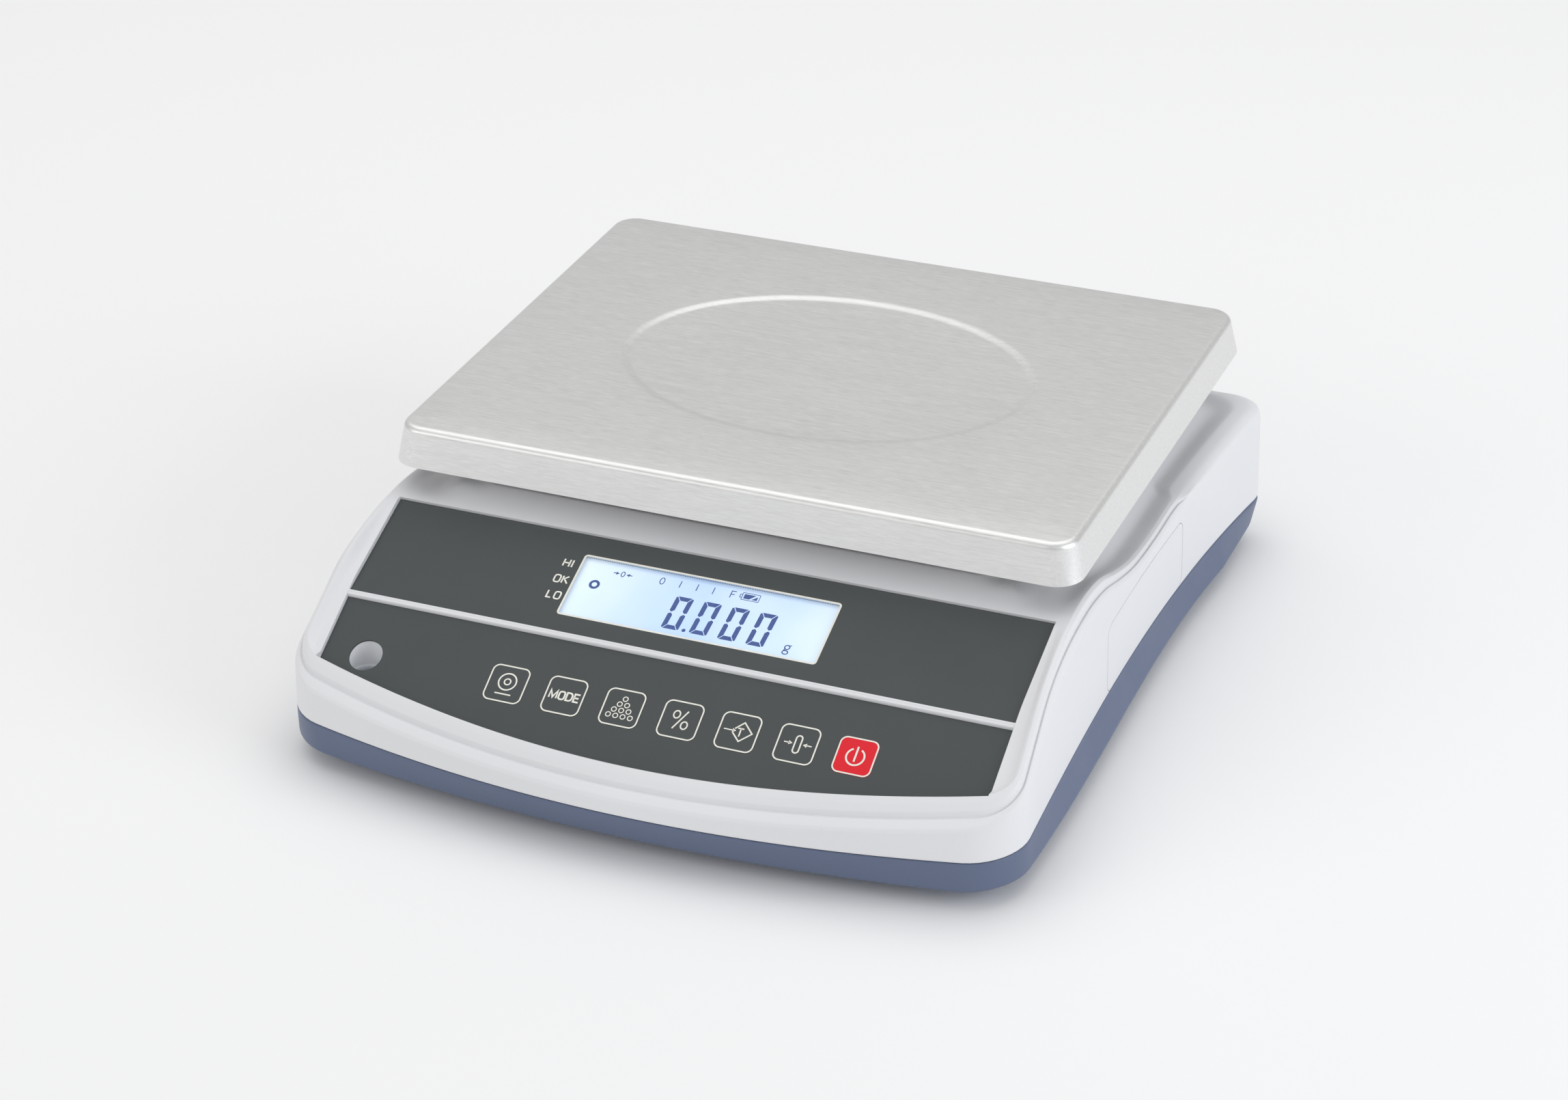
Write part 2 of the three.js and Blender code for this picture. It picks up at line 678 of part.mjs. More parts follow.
function weighingPan() {
  const skin = (inset, top) => {
    const fold = Math.max(PAN_FOLD - inset, 1);
    const bend = [0, 0.25, 0.5, 0.75, 1].map((t) => {
      const angle = (t * Math.PI) / 2;
      return panRing(inset + fold * (1 - Math.cos(angle)), top - fold * (1 - Math.sin(angle)));
    });
    return [
      panRing(inset - PAN_FLARE, PAN_TOP - PAN_SKIRT),
      ...bend,
      ovalRing(OVAL.slope / 2, top),
      ovalRing(-OVAL.slope / 2, top - OVAL.depth),
      pole(bend[0], 0, PAN_Y, top - OVAL.depth),
    ];
  };
  const under = skin(PAN_SHEET, PAN_TOP - PAN_SHEET).reverse();
  return lofted([...under, ...skin(0, PAN_TOP)]);
}

// Cross with four arms that carries the pan on rubber pads.
function panSupport() {
  const top = SUPPORT_BOTTOM + SUPPORT_THICK;
  const reach = Math.hypot(PAD.x, PAD.y);
  const lean = Math.atan2(PAD.y, PAD.x);
  const arms = [lean, -lean].map((angle) => {
    const turn = moved(0, PAN_Y, 0).multiply(new THREE.Matrix4().makeRotationZ(angle));
    const bar = roundedRectangle(0, 0, 2 * reach + 24, 22, 11);
    const ridge = box(-reach + 14, reach - 14, -2.5, 2.5, SUPPORT_BOTTOM - 4, top - 1, turn);
    return join(prism(bar, SUPPORT_BOTTOM, top, turn), ridge);
  });
  const centre = prism(
    roundedRectangle(CELL_END / 2, PAN_Y, CELL_END + 50, 52, 8), SUPPORT_BOTTOM, top,
  );
  const under = box(CELL_END - 19, CELL_END + 19, PAN_Y - 19, PAN_Y + 19, 80, SUPPORT_BOTTOM);
  const boltHoles = boltPlaces(CELL_END).map(([x, y]) => cylinder(3.3, x, y, 80, 110, 12));
  return cut(join(...arms, centre), under, ...boltHoles);
}

function supportPad(x, y) {
  const low = SUPPORT_BOTTOM + SUPPORT_THICK + GAP;
  const top = PAN_TOP - PAN_SHEET - GAP;
  const r = PAD.r;
  const profile = [[0, low], [r, low], [r, low + 3], [r - 2, top - 1], [r - 3, top], [0, top]];
  return turned(profile, x, y, 12);
}

const boltPlaces = (x) => [[x - 9.5, PAN_Y], [x + 9.5, PAN_Y]];

// Beam with the two joined round holes that make its thin bending webs.
function loadCell() {
  const { length, width, height, bottom } = CELL;
  const y = PAN_Y;
  const middle = bottom + height / 2;
  const side = polygon([
    [-length / 2, bottom], [length / 2, bottom],
    [length / 2, bottom + height], [-length / 2, bottom + height],
  ]);
  const beam = lengthways(side, y - width / 2, y + width / 2);
  const eyes = [-22, 22].map((x) =>
    lengthways(polygon(circlePoints(x, middle, 17, 20)), y - width, y + width),
  );
  const slot = box(-22, 22, y - width, y + width, middle - 6, middle + 6);
  const bolts = [
    ...boltPlaces(-CELL_END).map(([bx, by]) => cylinder(3.3, bx, by, bottom - 1, 40, 12)),
    ...boltPlaces(CELL_END).map(([bx, by]) => cylinder(3.3, bx, by, 44, 70, 12)),
  ];
  return cut(beam, ...eyes, slot, ...bolts);
}

function boltedBlock(x, w, d, bottom, top) {
  const block = prism(roundedRectangle(x, PAN_Y, w, d, 2), bottom, top);
  const holes = boltPlaces(x).map(([bx, by]) => cylinder(3.3, bx, by, bottom - 1, top + 1, 12));
  return cut(block, ...holes);
}

// Socket head bolt along Z; "up" is 1 when its head is at the top.
function bolt(x, y, headZ, length, up, r = 3) {
  const steps = 12;
  const along = (radius, from, to) =>
    cylinder(radius, x, y, headZ + Math.min(from, to), headZ + Math.max(from, to), steps);
  const head = along(r * 1.65, 0, up * r * 1.4);
  const shank = along(r, -up * length, up * 0.2);
  const low = headZ + (up > 0 ? r * 0.6 : -r * 1.7);
  const socket = prism(polygon(circlePoints(x, y, r * 0.9, 6)), low, low + r * 1.1);
  return cut(join(head, shank), socket);
}

// ---- Chassis, feet and inner pieces -------------------------------------------------

const footPlaces = () => [
  [-FOOT.x, FOOT.front], [FOOT.x, FOOT.front], [FOOT.x, FOOT.rear], [-FOOT.x, FOOT.rear],
];

function chassisPlate() {
  const { halfWidth, front, rear, bottom, thick } = CHASSIS;
  const w = 2 * halfWidth;
  const d = rear - front;
  const y = (front + rear) / 2;
  const plate = prism(roundedRectangle(0, y, w, d, 10), bottom, bottom + thick);
  const rails = [-1, 1].map((side) => {
    const x = side * 84;
    return box(x - 1, x + 1, front + 30, rear - 30, bottom + 1, bottom + 10);
  });
  const slots = [-54, -18, 18, 54].map((x) =>
    prism(roundedRectangle(x, -76, 24, 70, 12), bottom - 1, bottom + thick + 1),
  );
  const holes = [
    ...slots,
    ...footPlaces().map(([x, fy]) => cylinder(FOOT.stud + GAP, x, fy, 10, 30, 16)),
    ...boltPlaces(-CELL_END).map(([x, by]) => cylinder(3.3, x, by, 10, 30, 12)),
    cylinder(2.8, CELL_END, PAN_Y, 10, 30, 12),
    ...BOSSES.slice(4).map(([x, by]) => cylinder(7, x, by, 10, 30, 16)),
  ];
  return cut(join(plate, ...rails), ...holes);
}

// Screw under the free end of the beam that stops it before it bends too far.
function overloadStop() {
  const top = CELL.bottom - 0.6;
  const shank = cylinder(2.5, CELL_END, PAN_Y, 12.5, top, 12);
  const nut = prism(polygon(circlePoints(CELL_END, PAN_Y, 4.6, 6)), 18.3, 20.8);
  return join(shank, nut);
}

function footPad(x, y) {
  const profile = [[0, 0], [10, 0], [11, 1], [11, 3.4], [9, 5], [0, 5]];
  return turned(profile, x, y, 18);
}

// Levelling stud with its knurled turning disc.
function footScrew(x, y) {
  const low = 5 + GAP;
  const high = BASE_BOTTOM - GAP;
  const teeth = 16;
  const points = Array.from({ length: teeth * 2 }, (_, i) => {
    const r = FOOT.knob - (i % 2) * 0.7;
    const angle = (i / (teeth * 2)) * Math.PI * 2;
    return [x + r * Math.cos(angle), y + r * Math.sin(angle)];
  });
  const disc = prism(polygon(points), low, high);
  return join(disc, cylinder(FOOT.stud, x, y, high - 0.5, 28, 12));
}

function mainBoard() {
  const board = box(-66, 66, -112, -36, 26, 27.6);
  const pieces = [
    box(-55, -37, -100, -82, 27.4, 39), box(-24, 2, -84, -58, 27.4, 30),
    box(14, 24, -76, -66, 27.4, 29.5), box(34, 44, -104, -94, 27.4, 36),
    box(-60, -30, -48, -40, 27.4, 34), box(20, 50, -48, -40, 27.4, 34),
  ];
  const capacitors = [[-14, -100], [4, -100], [52, -70]].map(([x, y]) =>
    cylinder(5, x, y, 27.4, 41, 12),
  );
  const posts = [[-60, -106], [60, -106], [-60, -42], [60, -42]].map(([x, y]) =>
    cylinder(3, x, y, CHASSIS.bottom + CHASSIS.thick + GAP, 26.2, 10),
  );
  return join(board, ...pieces, ...capacitors, ...posts);
}

// Four cells side by side in one wrap.
function batteryPack() {
  const r = 11.3;
  const z = CHASSIS.bottom + CHASSIS.thick + GAP + r;
  const cells = [0, 1, 2, 3].map((i) => {
    const y = -7 + i * (2 * r - 0.8);
    return sideways(polygon(circlePoints(y, z, r, 12)), 92, 142);
  });
  return join(...cells);
}

// Barrel socket: a threaded body with a flange outside the wall and a nut inside it.
function powerJack() {
  const [x, z] = JACK;
  const ring = (r, y0, y1, steps = 20) =>
    lengthways(polygon(circlePoints(x, z, r, steps)), y0, y1);
  const body = join(ring(5.4, REAR - 16, REAR - 1), ring(8, REAR - 8, REAR - 5.6, 6));
  const pin = ring(1, REAR - 13, REAR - 2, 8);
  return join(cut(body, ring(3, REAR - 12, REAR + 1)), pin);
}

function serialPort() {
  const [x, z] = PORT;
  const flange = lengthways(roundedRectangle(x, z, 31, 12.5, 0.8), REAR - 4, REAR - 3);
  const shellPoints = [[-8.6, 4], [8.6, 4], [7.2, -4], [-7.2, -4]].reverse();
  const shellShape = polygon(shellPoints.map(([a, b]) => [x + a, z + b]));
  const shell = lengthways(shellShape, REAR - 14, REAR - 0.6);
  const nuts = [-12.5, 12.5].map((dx) =>
    lengthways(polygon(circlePoints(x + dx, z, 2.7, 6)), REAR - 6, REAR - 0.8),
  );
  return join(flange, shell, ...nuts);
}

function caseScrew(x, y) {
  const seat = BASE_BOTTOM + 2.4 - GAP;
  const head = cylinder(3.4, x, y, BASE_BOTTOM + 0.3, seat, 12);
  const slots = [0, 1].map((i) => {
    const turn = moved(x, y, 0).multiply(new THREE.Matrix4().makeRotationZ((i * Math.PI) / 2));
    return box(-2, 2, -0.45, 0.45, BASE_BOTTOM - 1, BASE_BOTTOM + 1.3, turn);
  });
  return cut(join(head, cylinder(1.7, x, y, seat - 0.2, 34, 10)), ...slots);
}

// ---- Assembly -----------------------------------------------------------------------

const scale = new THREE.Group();

function place(name, shape, look, parent = scale) {
  const mesh = new THREE.Mesh(surface(shape), look);
  mesh.name = name;
  parent.add(mesh);
}

function panelGroup(plane) {
  const group = new THREE.Group();
  group.applyMatrix4(plane);
  scale.add(group);
  return group;
}

const upperPanel = panelGroup(upperPlane);
const lowerPanel = panelGroup(lowerPlane);

place("bottom_case", bottomCase(), BLUE_CASE);
place("top_case", topCase(), WHITE_CASE);
place("side_cover", sideCover(), WHITE_CASE);

place("display_overlay", displayOverlay(), OVERLAY_FILM, upperPanel);
place("lcd_window", lcdWindow(), CLEAR, upperPanel);
place("lcd_glass", displayLayer(1.8, 1.6, 2.4), LCD_GLASS, upperPanel);
place("backlight_panel", displayLayer(1.8, 4.3, 4), BACKLIGHT, upperPanel);
place("display_frame", displayFrame(), BLACK_PLASTIC, upperPanel);
place("display_board", displayBoard(), CIRCUIT_BOARD, upperPanel);

place("keypad_overlay", keypadOverlay(), OVERLAY_FILM, lowerPanel);
KEY_NAMES.forEach((name, i) => {
  place(`${name}_key`, keyCap(i), name === "power" ? RED_FILM : KEY_FILM, lowerPanel);
});
place("key_board", keyBoard(), CIRCUIT_BOARD, lowerPanel);
place("level_cup", levelCup(), GREY_PLASTIC);
place("level_vial", levelVial(), CLEAR);

place("weighing_pan", weighingPan(), STAINLESS);
place("pan_support", panSupport(), ALUMINIUM);
[[-1, -1], [1, -1], [1, 1], [-1, 1]].forEach(([sx, sy], i) => {
  place(`support_pad_${i + 1}`, supportPad(sx * PAD.x, PAN_Y + sy * PAD.y), BLACK_RUBBER);
});
place("load_cell", loadCell(), ALUMINIUM);
place("load_cell_spacer", boltedBlock(-CELL_END, 36, 30, 18.3, 22.3), ZINC_STEEL);
place("load_cell_block", boltedBlock(CELL_END, 34, 34, 62.9, 94.7), ALUMINIUM);
boltPlaces(-CELL_END).forEach(([x, y], i) => {
  place(`lower_bolt_${i + 1}`, bolt(x, y, 15.7, 18, -1), ZINC_STEEL);
});
boltPlaces(CELL_END).forEach(([x, y], i) => {
  place(`upper_bolt_${i + 1}`, bolt(x, y, 101.3, 50, 1), ZINC_STEEL);
});
place("overload_stop", overloadStop(), ZINC_STEEL);

place("chassis_plate", chassisPlate(), ZINC_STEEL);
footPlaces().forEach(([x, y], i) => {
  place(`foot_pad_${i + 1}`, footPad(x, y), BLACK_RUBBER);
  place(`foot_screw_${i + 1}`, footScrew(x, y), ZINC_STEEL);
});
place("main_board", mainBoard(), CIRCUIT_BOARD);
place("battery_pack", batteryPack(), BATTERY_WRAP);
place("power_jack", powerJack(), BLACK_PLASTIC);
place("serial_port", serialPort(), ZINC_STEEL);
BOSSES.forEach(([x, y], i) => place(`case_screw_${i + 1}`, caseScrew(x, y), ZINC_STEEL));

export default scale;
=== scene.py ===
# How the counting scale looks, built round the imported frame. Lengths are in millimetres
# until a mesh is made, which is in metres.
import json
import math

import bmesh
import bpy
import numpy as np
from mathutils import Matrix, Vector

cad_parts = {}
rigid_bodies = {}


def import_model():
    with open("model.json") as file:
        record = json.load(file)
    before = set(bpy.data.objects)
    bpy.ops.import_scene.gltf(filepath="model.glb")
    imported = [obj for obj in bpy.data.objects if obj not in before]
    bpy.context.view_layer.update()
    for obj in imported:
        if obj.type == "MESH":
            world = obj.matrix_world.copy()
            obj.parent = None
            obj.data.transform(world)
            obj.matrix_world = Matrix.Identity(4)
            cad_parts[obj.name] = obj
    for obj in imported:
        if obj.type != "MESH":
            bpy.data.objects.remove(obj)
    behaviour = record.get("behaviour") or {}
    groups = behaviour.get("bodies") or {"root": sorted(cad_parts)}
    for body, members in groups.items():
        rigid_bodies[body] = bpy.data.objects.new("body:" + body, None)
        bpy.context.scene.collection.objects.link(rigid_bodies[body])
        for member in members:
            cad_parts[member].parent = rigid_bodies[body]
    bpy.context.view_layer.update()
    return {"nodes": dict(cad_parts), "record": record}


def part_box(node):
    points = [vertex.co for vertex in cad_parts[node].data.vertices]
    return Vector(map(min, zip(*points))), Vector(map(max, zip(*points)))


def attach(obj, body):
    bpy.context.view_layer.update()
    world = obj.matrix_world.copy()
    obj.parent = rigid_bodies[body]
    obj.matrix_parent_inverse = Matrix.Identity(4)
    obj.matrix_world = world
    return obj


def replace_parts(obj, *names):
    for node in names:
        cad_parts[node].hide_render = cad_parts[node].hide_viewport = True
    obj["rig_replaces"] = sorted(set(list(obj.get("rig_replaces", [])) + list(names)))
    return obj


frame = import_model()

MM = 0.001

# Housing: y runs from the front to the rear, and z from the table up.
GAP = 0.3  # between touching pieces
WALL = 2.5
PARTING = 22.0  # height of the line between the two halves
VALLEY = 61.0  # height of the gutter round the plateau
BASE_BOTTOM = 7.6
FRONT, REAR, FRONT_BOW = -175.0, 175.0, 565.0
FRONT_CORNER, REAR_CORNER = 20.0, 14.0
BASE = {"front": -170.0, "rear": 173.0, "bow": 783.0}
PLATEAU = {"height": 86.0, "half": 121.0, "front": -52.0, "rear": 150.0, "corner": 14.0}
STRAIGHT = 1e6  # bow radius of an edge that has no bow

# The two dark plates: y and z of the upper edge, tilt in degrees, length down the slope.
UPPER = {"y": -64.3, "z": 78.5, "tilt": 21.1, "length": 50.8}
LOWER = {"y": -113.9, "z": 58.0, "tilt": 29.2, "length": 51.0, "bow": 536.0}
PLATE = 0.8
PANEL_HALF = 146.0
PANEL_LIP = 1.9  # height of the rim over the plates at their sides

# Places on a plate: x from the middle, y up the slope from the upper edge.
WINDOW = {"x": 1.9, "y": -26.1, "w": 114.4, "h": 32.4}
KEYS = ["hold", "mode", "count", "percent", "tare", "zero", "power"]
KEY_SIDES = {key: 16.5 if key == "power" else 17.0 for key in KEYS}
KEY_Y = -24.7
LEVEL_Y = -24.9

# Openings in the walls: x or y and z of the middle, then the size.
SIDE_OPENING = {"y": 27.5, "z": 38.55, "w": 99.0, "h": 31.9, "corner": 5.0}
POWER_SOCKET = {"x": -128.0, "z": 44.0, "r": 5.8}
SERIAL_SOCKET = {"x": -94.0, "z": 44.0, "w": 31.6, "h": 13.1}

# Pan: the oval step in its top, its rim's corners and how far its skirt leans out.
OVAL = {"rx": 91.0, "ry": 65.5, "step": 0.9}
PAN_CORNER = 11.0
PAN_FLARE = 2.7


# ---- Meshes --------------------------------------------------------------------------


def as_object(name, vertices, faces, closed=True):
    """An object from points in millimetres; a closed one gets its faces turned outwards."""
    mesh = bpy.data.meshes.new(name)
    mesh.from_pydata([tuple(v) for v in np.asarray(vertices, float) * MM], [], faces)
    obj = bpy.data.objects.new(name, mesh)
    bpy.context.scene.collection.objects.link(obj)
    if closed:
        made = bmesh.new()
        made.from_mesh(mesh)
        bmesh.ops.recalc_face_normals(made, faces=made.faces)
        made.to_mesh(mesh)
        made.free()
    return obj


def loft(name, rings):
    """A closed skin through rings with the same number of points, capped at both ends."""
    n = len(rings[0])
    faces = [tuple(reversed(range(n)))]
    for r in range(len(rings) - 1):
        low, high = r * n, (r + 1) * n
        for i in range(n):
            j = (i + 1) % n
            faces.append((low + i, low + j, high + j, high + i))
    faces.append(tuple((len(rings) - 1) * n + i for i in range(n)))
    return as_object(name, np.concatenate(rings), faces)


def ring_at(outline, height):
    return np.c_[outline, np.broadcast_to(height, len(outline))]


def rounded_rings(control, radius, steps=5):
    """The rings with every edge between two bands rounded off."""
    rings = [control[0]]
    for before, at, after in zip(control, control[1:], control[2:]):
        back, ahead = before - at, after - at
        a = np.minimum(0.5, radius / np.linalg.norm(back, axis=1).clip(1e-6))[:, None]
        b = np.minimum(0.5, radius / np.linalg.norm(ahead, axis=1).clip(1e-6))[:, None]
        start, end = at + a * back, at + b * ahead
        for t in np.linspace(0, 1, steps + 1):
            rings.append((1 - t) ** 2 * start + 2 * t * (1 - t) * at + t * t * end)
    return [*rings, control[-1]]


def filled_in(rings, longest):
    """The rings with more between any two that are further apart than "longest"."""
    out = [rings[0]]
    for a, b in zip(rings, rings[1:]):
        parts = max(1, math.ceil(np.linalg.norm(b - a, axis=1).max() / longest))
        out += [a + (b - a) * (i + 1) / parts for i in range(parts)]
    return out


def evaluated(obj):
    """Bakes the object's modifiers into its mesh."""
    graph = bpy.context.evaluated_depsgraph_get()
    mesh = bpy.data.meshes.new_from_object(obj.evaluated_get(graph))
    obj.modifiers.clear()
    obj.data = mesh
    return obj


def boolean(obj, cutters, operation="DIFFERENCE"):
    for cutter in cutters:
        modifier = obj.modifiers.new("boolean", "BOOLEAN")
        modifier.solver = "MANIFOLD"
        modifier.operation = operation
        modifier.object = cutter
    evaluated(obj)
    for cutter in cutters:
        bpy.data.objects.remove(cutter)
    return obj


def smooth(obj, angle=32):
    obj.data.shade_smooth()
    obj.data.set_sharp_from_angle(angle=math.radians(angle))
    return obj


def finish_piece(obj, look, body, slot, *replaced):
    """Gives a piece its material, its body, and the CAD nodes that it replaces; the slot is not
    used.
    """
    obj.data.materials.clear()
    obj.data.materials.append(look)
    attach(obj, body)
    if replaced:
        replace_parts(obj, *replaced)


def rounded_rectangle(x, y, w, h, r, steps=8):
    corners = [(1, -1, -90), (1, 1, 0), (-1, 1, 90), (-1, -1, 180)]
    points = []
    for sx, sy, start in corners:
        for i in range(steps + 1):
            angle = math.radians(start + 90 * i / steps)
            px = x + sx * (w / 2 - r) + r * math.cos(angle)
            points.append((px, y + sy * (h / 2 - r) + r * math.sin(angle)))
    return np.array(points)


def circle(x, y, r, steps):
    angle = np.arange(steps) * 2 * math.pi / steps
    return np.c_[x + r * np.cos(angle), y + r * np.sin(angle)]


def prism(name, outline, low, high):
    return loft(name, [ring_at(outline, low), ring_at(outline, high)])


def sheet_with_holes(name, outlines, low, high):
    """A flat plate; the first outline is its rim and the others are holes."""
    curve = bpy.data.curves.new(name, "CURVE")
    curve.dimensions, curve.fill_mode = "2D", "BOTH"
    curve.extrude = (high - low) / 2
    for points in outlines:
        spline = curve.splines.new("POLY")
        spline.points.add(len(points) - 1)
        for p, (x, y) in zip(spline.points, points):
            p.co = (x, y, 0, 1)
        spline.use_cyclic_u = True
    maker = bpy.data.objects.new(name, curve)
    bpy.context.scene.collection.objects.link(maker)
    graph = bpy.context.evaluated_depsgraph_get()
    mesh = bpy.data.meshes.new_from_object(maker.evaluated_get(graph))
    bpy.data.objects.remove(maker)
    obj = bpy.data.objects.new(name, mesh)
    bpy.context.scene.collection.objects.link(obj)
    middle = Matrix.Translation((0, 0, (low + high) / 2))
    mesh.transform(Matrix.Diagonal((MM, MM, MM, 1)) @ middle)
    return obj


def place(obj, plane):
    obj.data.transform(plane)
    return obj


def panel_plane(spec):
    turn = Matrix.Rotation(math.radians(spec["tilt"]), 4, "X")
    return Matrix.Translation((0, spec["y"] * MM, spec["z"] * MM)) @ turn


UPPER_PLANE, LOWER_PLANE = panel_plane(UPPER), panel_plane(LOWER)


def under_panel(spec, along, depth):
    """(y, z) of the point "along" up the panel's slope and "depth" under its face."""
    t = math.radians(spec["tilt"])
    y = spec["y"] + along * math.cos(t) + depth * math.sin(t)
    return y, spec["z"] + along * math.sin(t) - depth * math.cos(t)


def centre_of(node):
    low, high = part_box(node)
    return (low + high) / 2 / MM


# ---- Printed marks -------------------------------------------------------------------


class Print:
    """Flat marks on a panel, in the panel's own millimetres."""

    def __init__(self):
        self.vertices, self.faces = [], []

    def polygon(self, points):
        start = len(self.vertices)
        self.vertices += [(x, y, 0) for x, y in points]
        self.faces.append(tuple(range(start, start + len(points))))

    def stroke(self, points, width, closed=False):
        """A line of one width through the points, with mitred corners."""
        p = np.array(points, float)
        ahead = np.roll(p, -1, 0) - p
        back = p - np.roll(p, 1, 0)
        if not closed:
            ahead[-1], back[0] = back[-1], ahead[0]
        ahead /= np.linalg.norm(ahead, axis=1)[:, None]
        back /= np.linalg.norm(back, axis=1)[:, None]
        mitre = (ahead + back) / np.linalg.norm(ahead + back, axis=1)[:, None]
        normal = np.c_[-mitre[:, 1], mitre[:, 0]]
        reach = width / 2 / np.abs((normal * np.c_[-ahead[:, 1], ahead[:, 0]]).sum(1)).clip(0.4)
        left, right = p + normal * reach[:, None], p - normal * reach[:, None]
        for i in range(len(p) - (0 if closed else 1)):
            j = (i + 1) % len(p)
            self.polygon([right[i], right[j], left[j], left[i]])

    def ring(self, x, y, r, width, start=0, end=360, squash=1.0):
        """A drawn circle, arc or, with squash, ellipse."""
        steps = max(12, int(abs(end - start) / 8))
        whole = abs(end - start) == 360
        angle = np.radians(np.linspace(start, end, steps + 1)[: steps + (not whole)])
        self.stroke(np.c_[x + r * np.cos(angle), y + r * squash * np.sin(angle)], width, whole)

    def text(self, word, x, y, height, width, gap=0.35):
        """Letters from strokes, starting at x; "height" is a capital's, y its foot."""
        for letter in word:
            advance = LETTER_WIDTHS.get(letter, 0.7) * height
            for points, closed in LETTERS[letter]:
                self.stroke([(x + a * advance, y + b * height) for a, b in points], width, closed)
            x += advance + gap * height

    def obj(self, name, plane, lift):
        made = as_object(name, self.vertices, self.faces, closed=False)
        return place(made, plane @ Matrix.Translation((0, 0, lift * MM)))


LETTER_WIDTHS = {"I": 0.12, "M": 0.9, "F": 0.62, "L": 0.58}
LETTER_O = rounded_rectangle(0.5, 0.5, 1, 1, 0.3, 4)
LETTER_D = [(0, 0), (0.6, 0), (0.87, 0.1), (1, 0.35), (1, 0.65), (0.87, 0.9), (0.6, 1), (0, 1)]
LEFT_STEM = ([(0, 0), (0, 1)], False)
LETTERS = {  # strokes in a unit box: points, and whether the stroke is closed
    "D": [(LETTER_D, True)],
    "E": [([(0.9, 0), (0, 0), (0, 1), (0.9, 1)], False), ([(0, 0.5), (0.8, 0.5)], False)],
    "F": [([(0, 0), (0, 1), (0.9, 1)], False), ([(0, 0.52), (0.75, 0.52)], False)],
    "H": [LEFT_STEM, ([(1, 0), (1, 1)], False), ([(0, 0.5), (1, 0.5)], False)],
    "I": [([(0.5, 0), (0.5, 1)], False)],
    "K": [LEFT_STEM, ([(0.9, 1), (0.02, 0.48)], False), ([(0.25, 0.6), (1, 0)], False)],
    "L": [([(0, 1), (0, 0.03), (0.9, 0.03)], False)],
    "M": [([(0, 0), (0.03, 1), (0.5, 0.1), (0.97, 1), (1, 0)], False)],
    "O": [(LETTER_O, True)],
    "T": [([(0, 1), (1, 1)], False), ([(0.5, 1), (0.5, 0)], False)],
}


# ---- Materials -----------------------------------------------------------------------


class Look:
    """A principled material and the nodes that vary it."""

    def __init__(self, name, color, roughness, metallic=0.0, **sockets):
        self.material = bpy.data.materials.new(name)
        self.material.use_nodes = True
        self.nodes, self.links = self.material.node_tree.nodes, self.material.node_tree.links
        self.shader = self.nodes["Principled BSDF"]
        self.set(**{"Base Color": (*color, 1), "Roughness": roughness, "Metallic": metallic})
        self.set(**{key.replace("_", " "): value for key, value in sockets.items()})
        self.color = color

    def set(self, **values):
        for key, value in values.items():
            self.shader.inputs[key].default_value = value

    def node(self, kind, inputs=None, **fields):
        made = self.nodes.new("ShaderNode" + kind)
        for key, value in fields.items():
            setattr(made, key, value)
        for key, value in (inputs or {}).items():
            if isinstance(value, bpy.types.NodeSocket):
                self.links.new(value, made.inputs[key])
            else:
                made.inputs[key].default_value = value
        return made

    def noise(self, scale, detail=3.0, stretch=(1, 1, 1), roughness=0.55):
        where = self.node("TexCoord").outputs["Object"]
        if tuple(stretch) != (1, 1, 1):
            where = self.node("Mapping", {"Vector": where, "Scale": stretch}).outputs[0]
        inputs = {"Vector": where, "Scale": scale, "Detail": detail, "Roughness": roughness}
        return self.node("TexNoise", inputs).outputs["Fac"]

    def span(self, value, low, high, to_low, to_high):
        ends = {"From Min": low, "From Max": high, "To Min": to_low, "To Max": to_high}
        return self.node("MapRange", {"Value": value, **ends}).outputs["Result"]

    def math(self, operation, *values):
        return self.node("Math", dict(enumerate(values)), operation=operation).outputs[0]

    def tint(self, factor, dark, light, low=0.35, high=0.65):
        """Colour between the base times "dark" and the base times "light"."""
        ramp = self.node("ValToRGB", {"Fac": factor})
        ramp.color_ramp.elements[0].position = low
        ramp.color_ramp.elements[1].position = high
        ramp.color_ramp.elements[0].color = (*[c * dark for c in self.color], 1)
        ramp.color_ramp.elements[1].color = (*[min(1, c * light) for c in self.color], 1)
        self.links.new(ramp.outputs["Color"], self.shader.inputs["Base Color"])

    def rough(self, factor, low, high):
        self.links.new(self.span(factor, 0.3, 0.7, low, high), self.shader.inputs["Roughness"])

    def bump(self, height, strength, distance, edge=0.0):
        inputs = {"Height": height, "Strength": strength, "Distance": distance}
        if edge:
            soft_edges = self.node("Bevel", {"Radius": edge * MM}, samples=4)
            inputs["Normal"] = soft_edges.outputs["Normal"]
        made = self.node("Bump", inputs)
        self.links.new(made.outputs["Normal"], self.shader.inputs["Normal"])


def moulded(name, color, roughness, edge, grain=0.05, gloss=0.45):
    """Moulded plastic: a fine spark-eroded texture with slightly uneven gloss."""
    look = Look(name, color, roughness, Specular_IOR_Level=gloss)
    look.tint(look.noise(9, 2), 0.985, 1.01)
    look.rough(look.noise(30, 4), roughness - 0.05, roughness + 0.06)
    look.bump(look.noise(1700, 2), grain, 0.0002, edge)
    return look.material


def brushed(name, color, roughness, stretch):
    """Brushed or rolled metal: fine lines along one direction and cloudy gloss."""
    look = Look(name, color, roughness, 1.0)
    lines = look.noise(1.0, 4, stretch, 0.7)
    look.tint(lines, 0.93, 1.05)
    look.rough(lines, roughness - 0.09, roughness + 0.1)
    look.bump(lines, 0.12, 0.0001, 0.4)
    return look.material


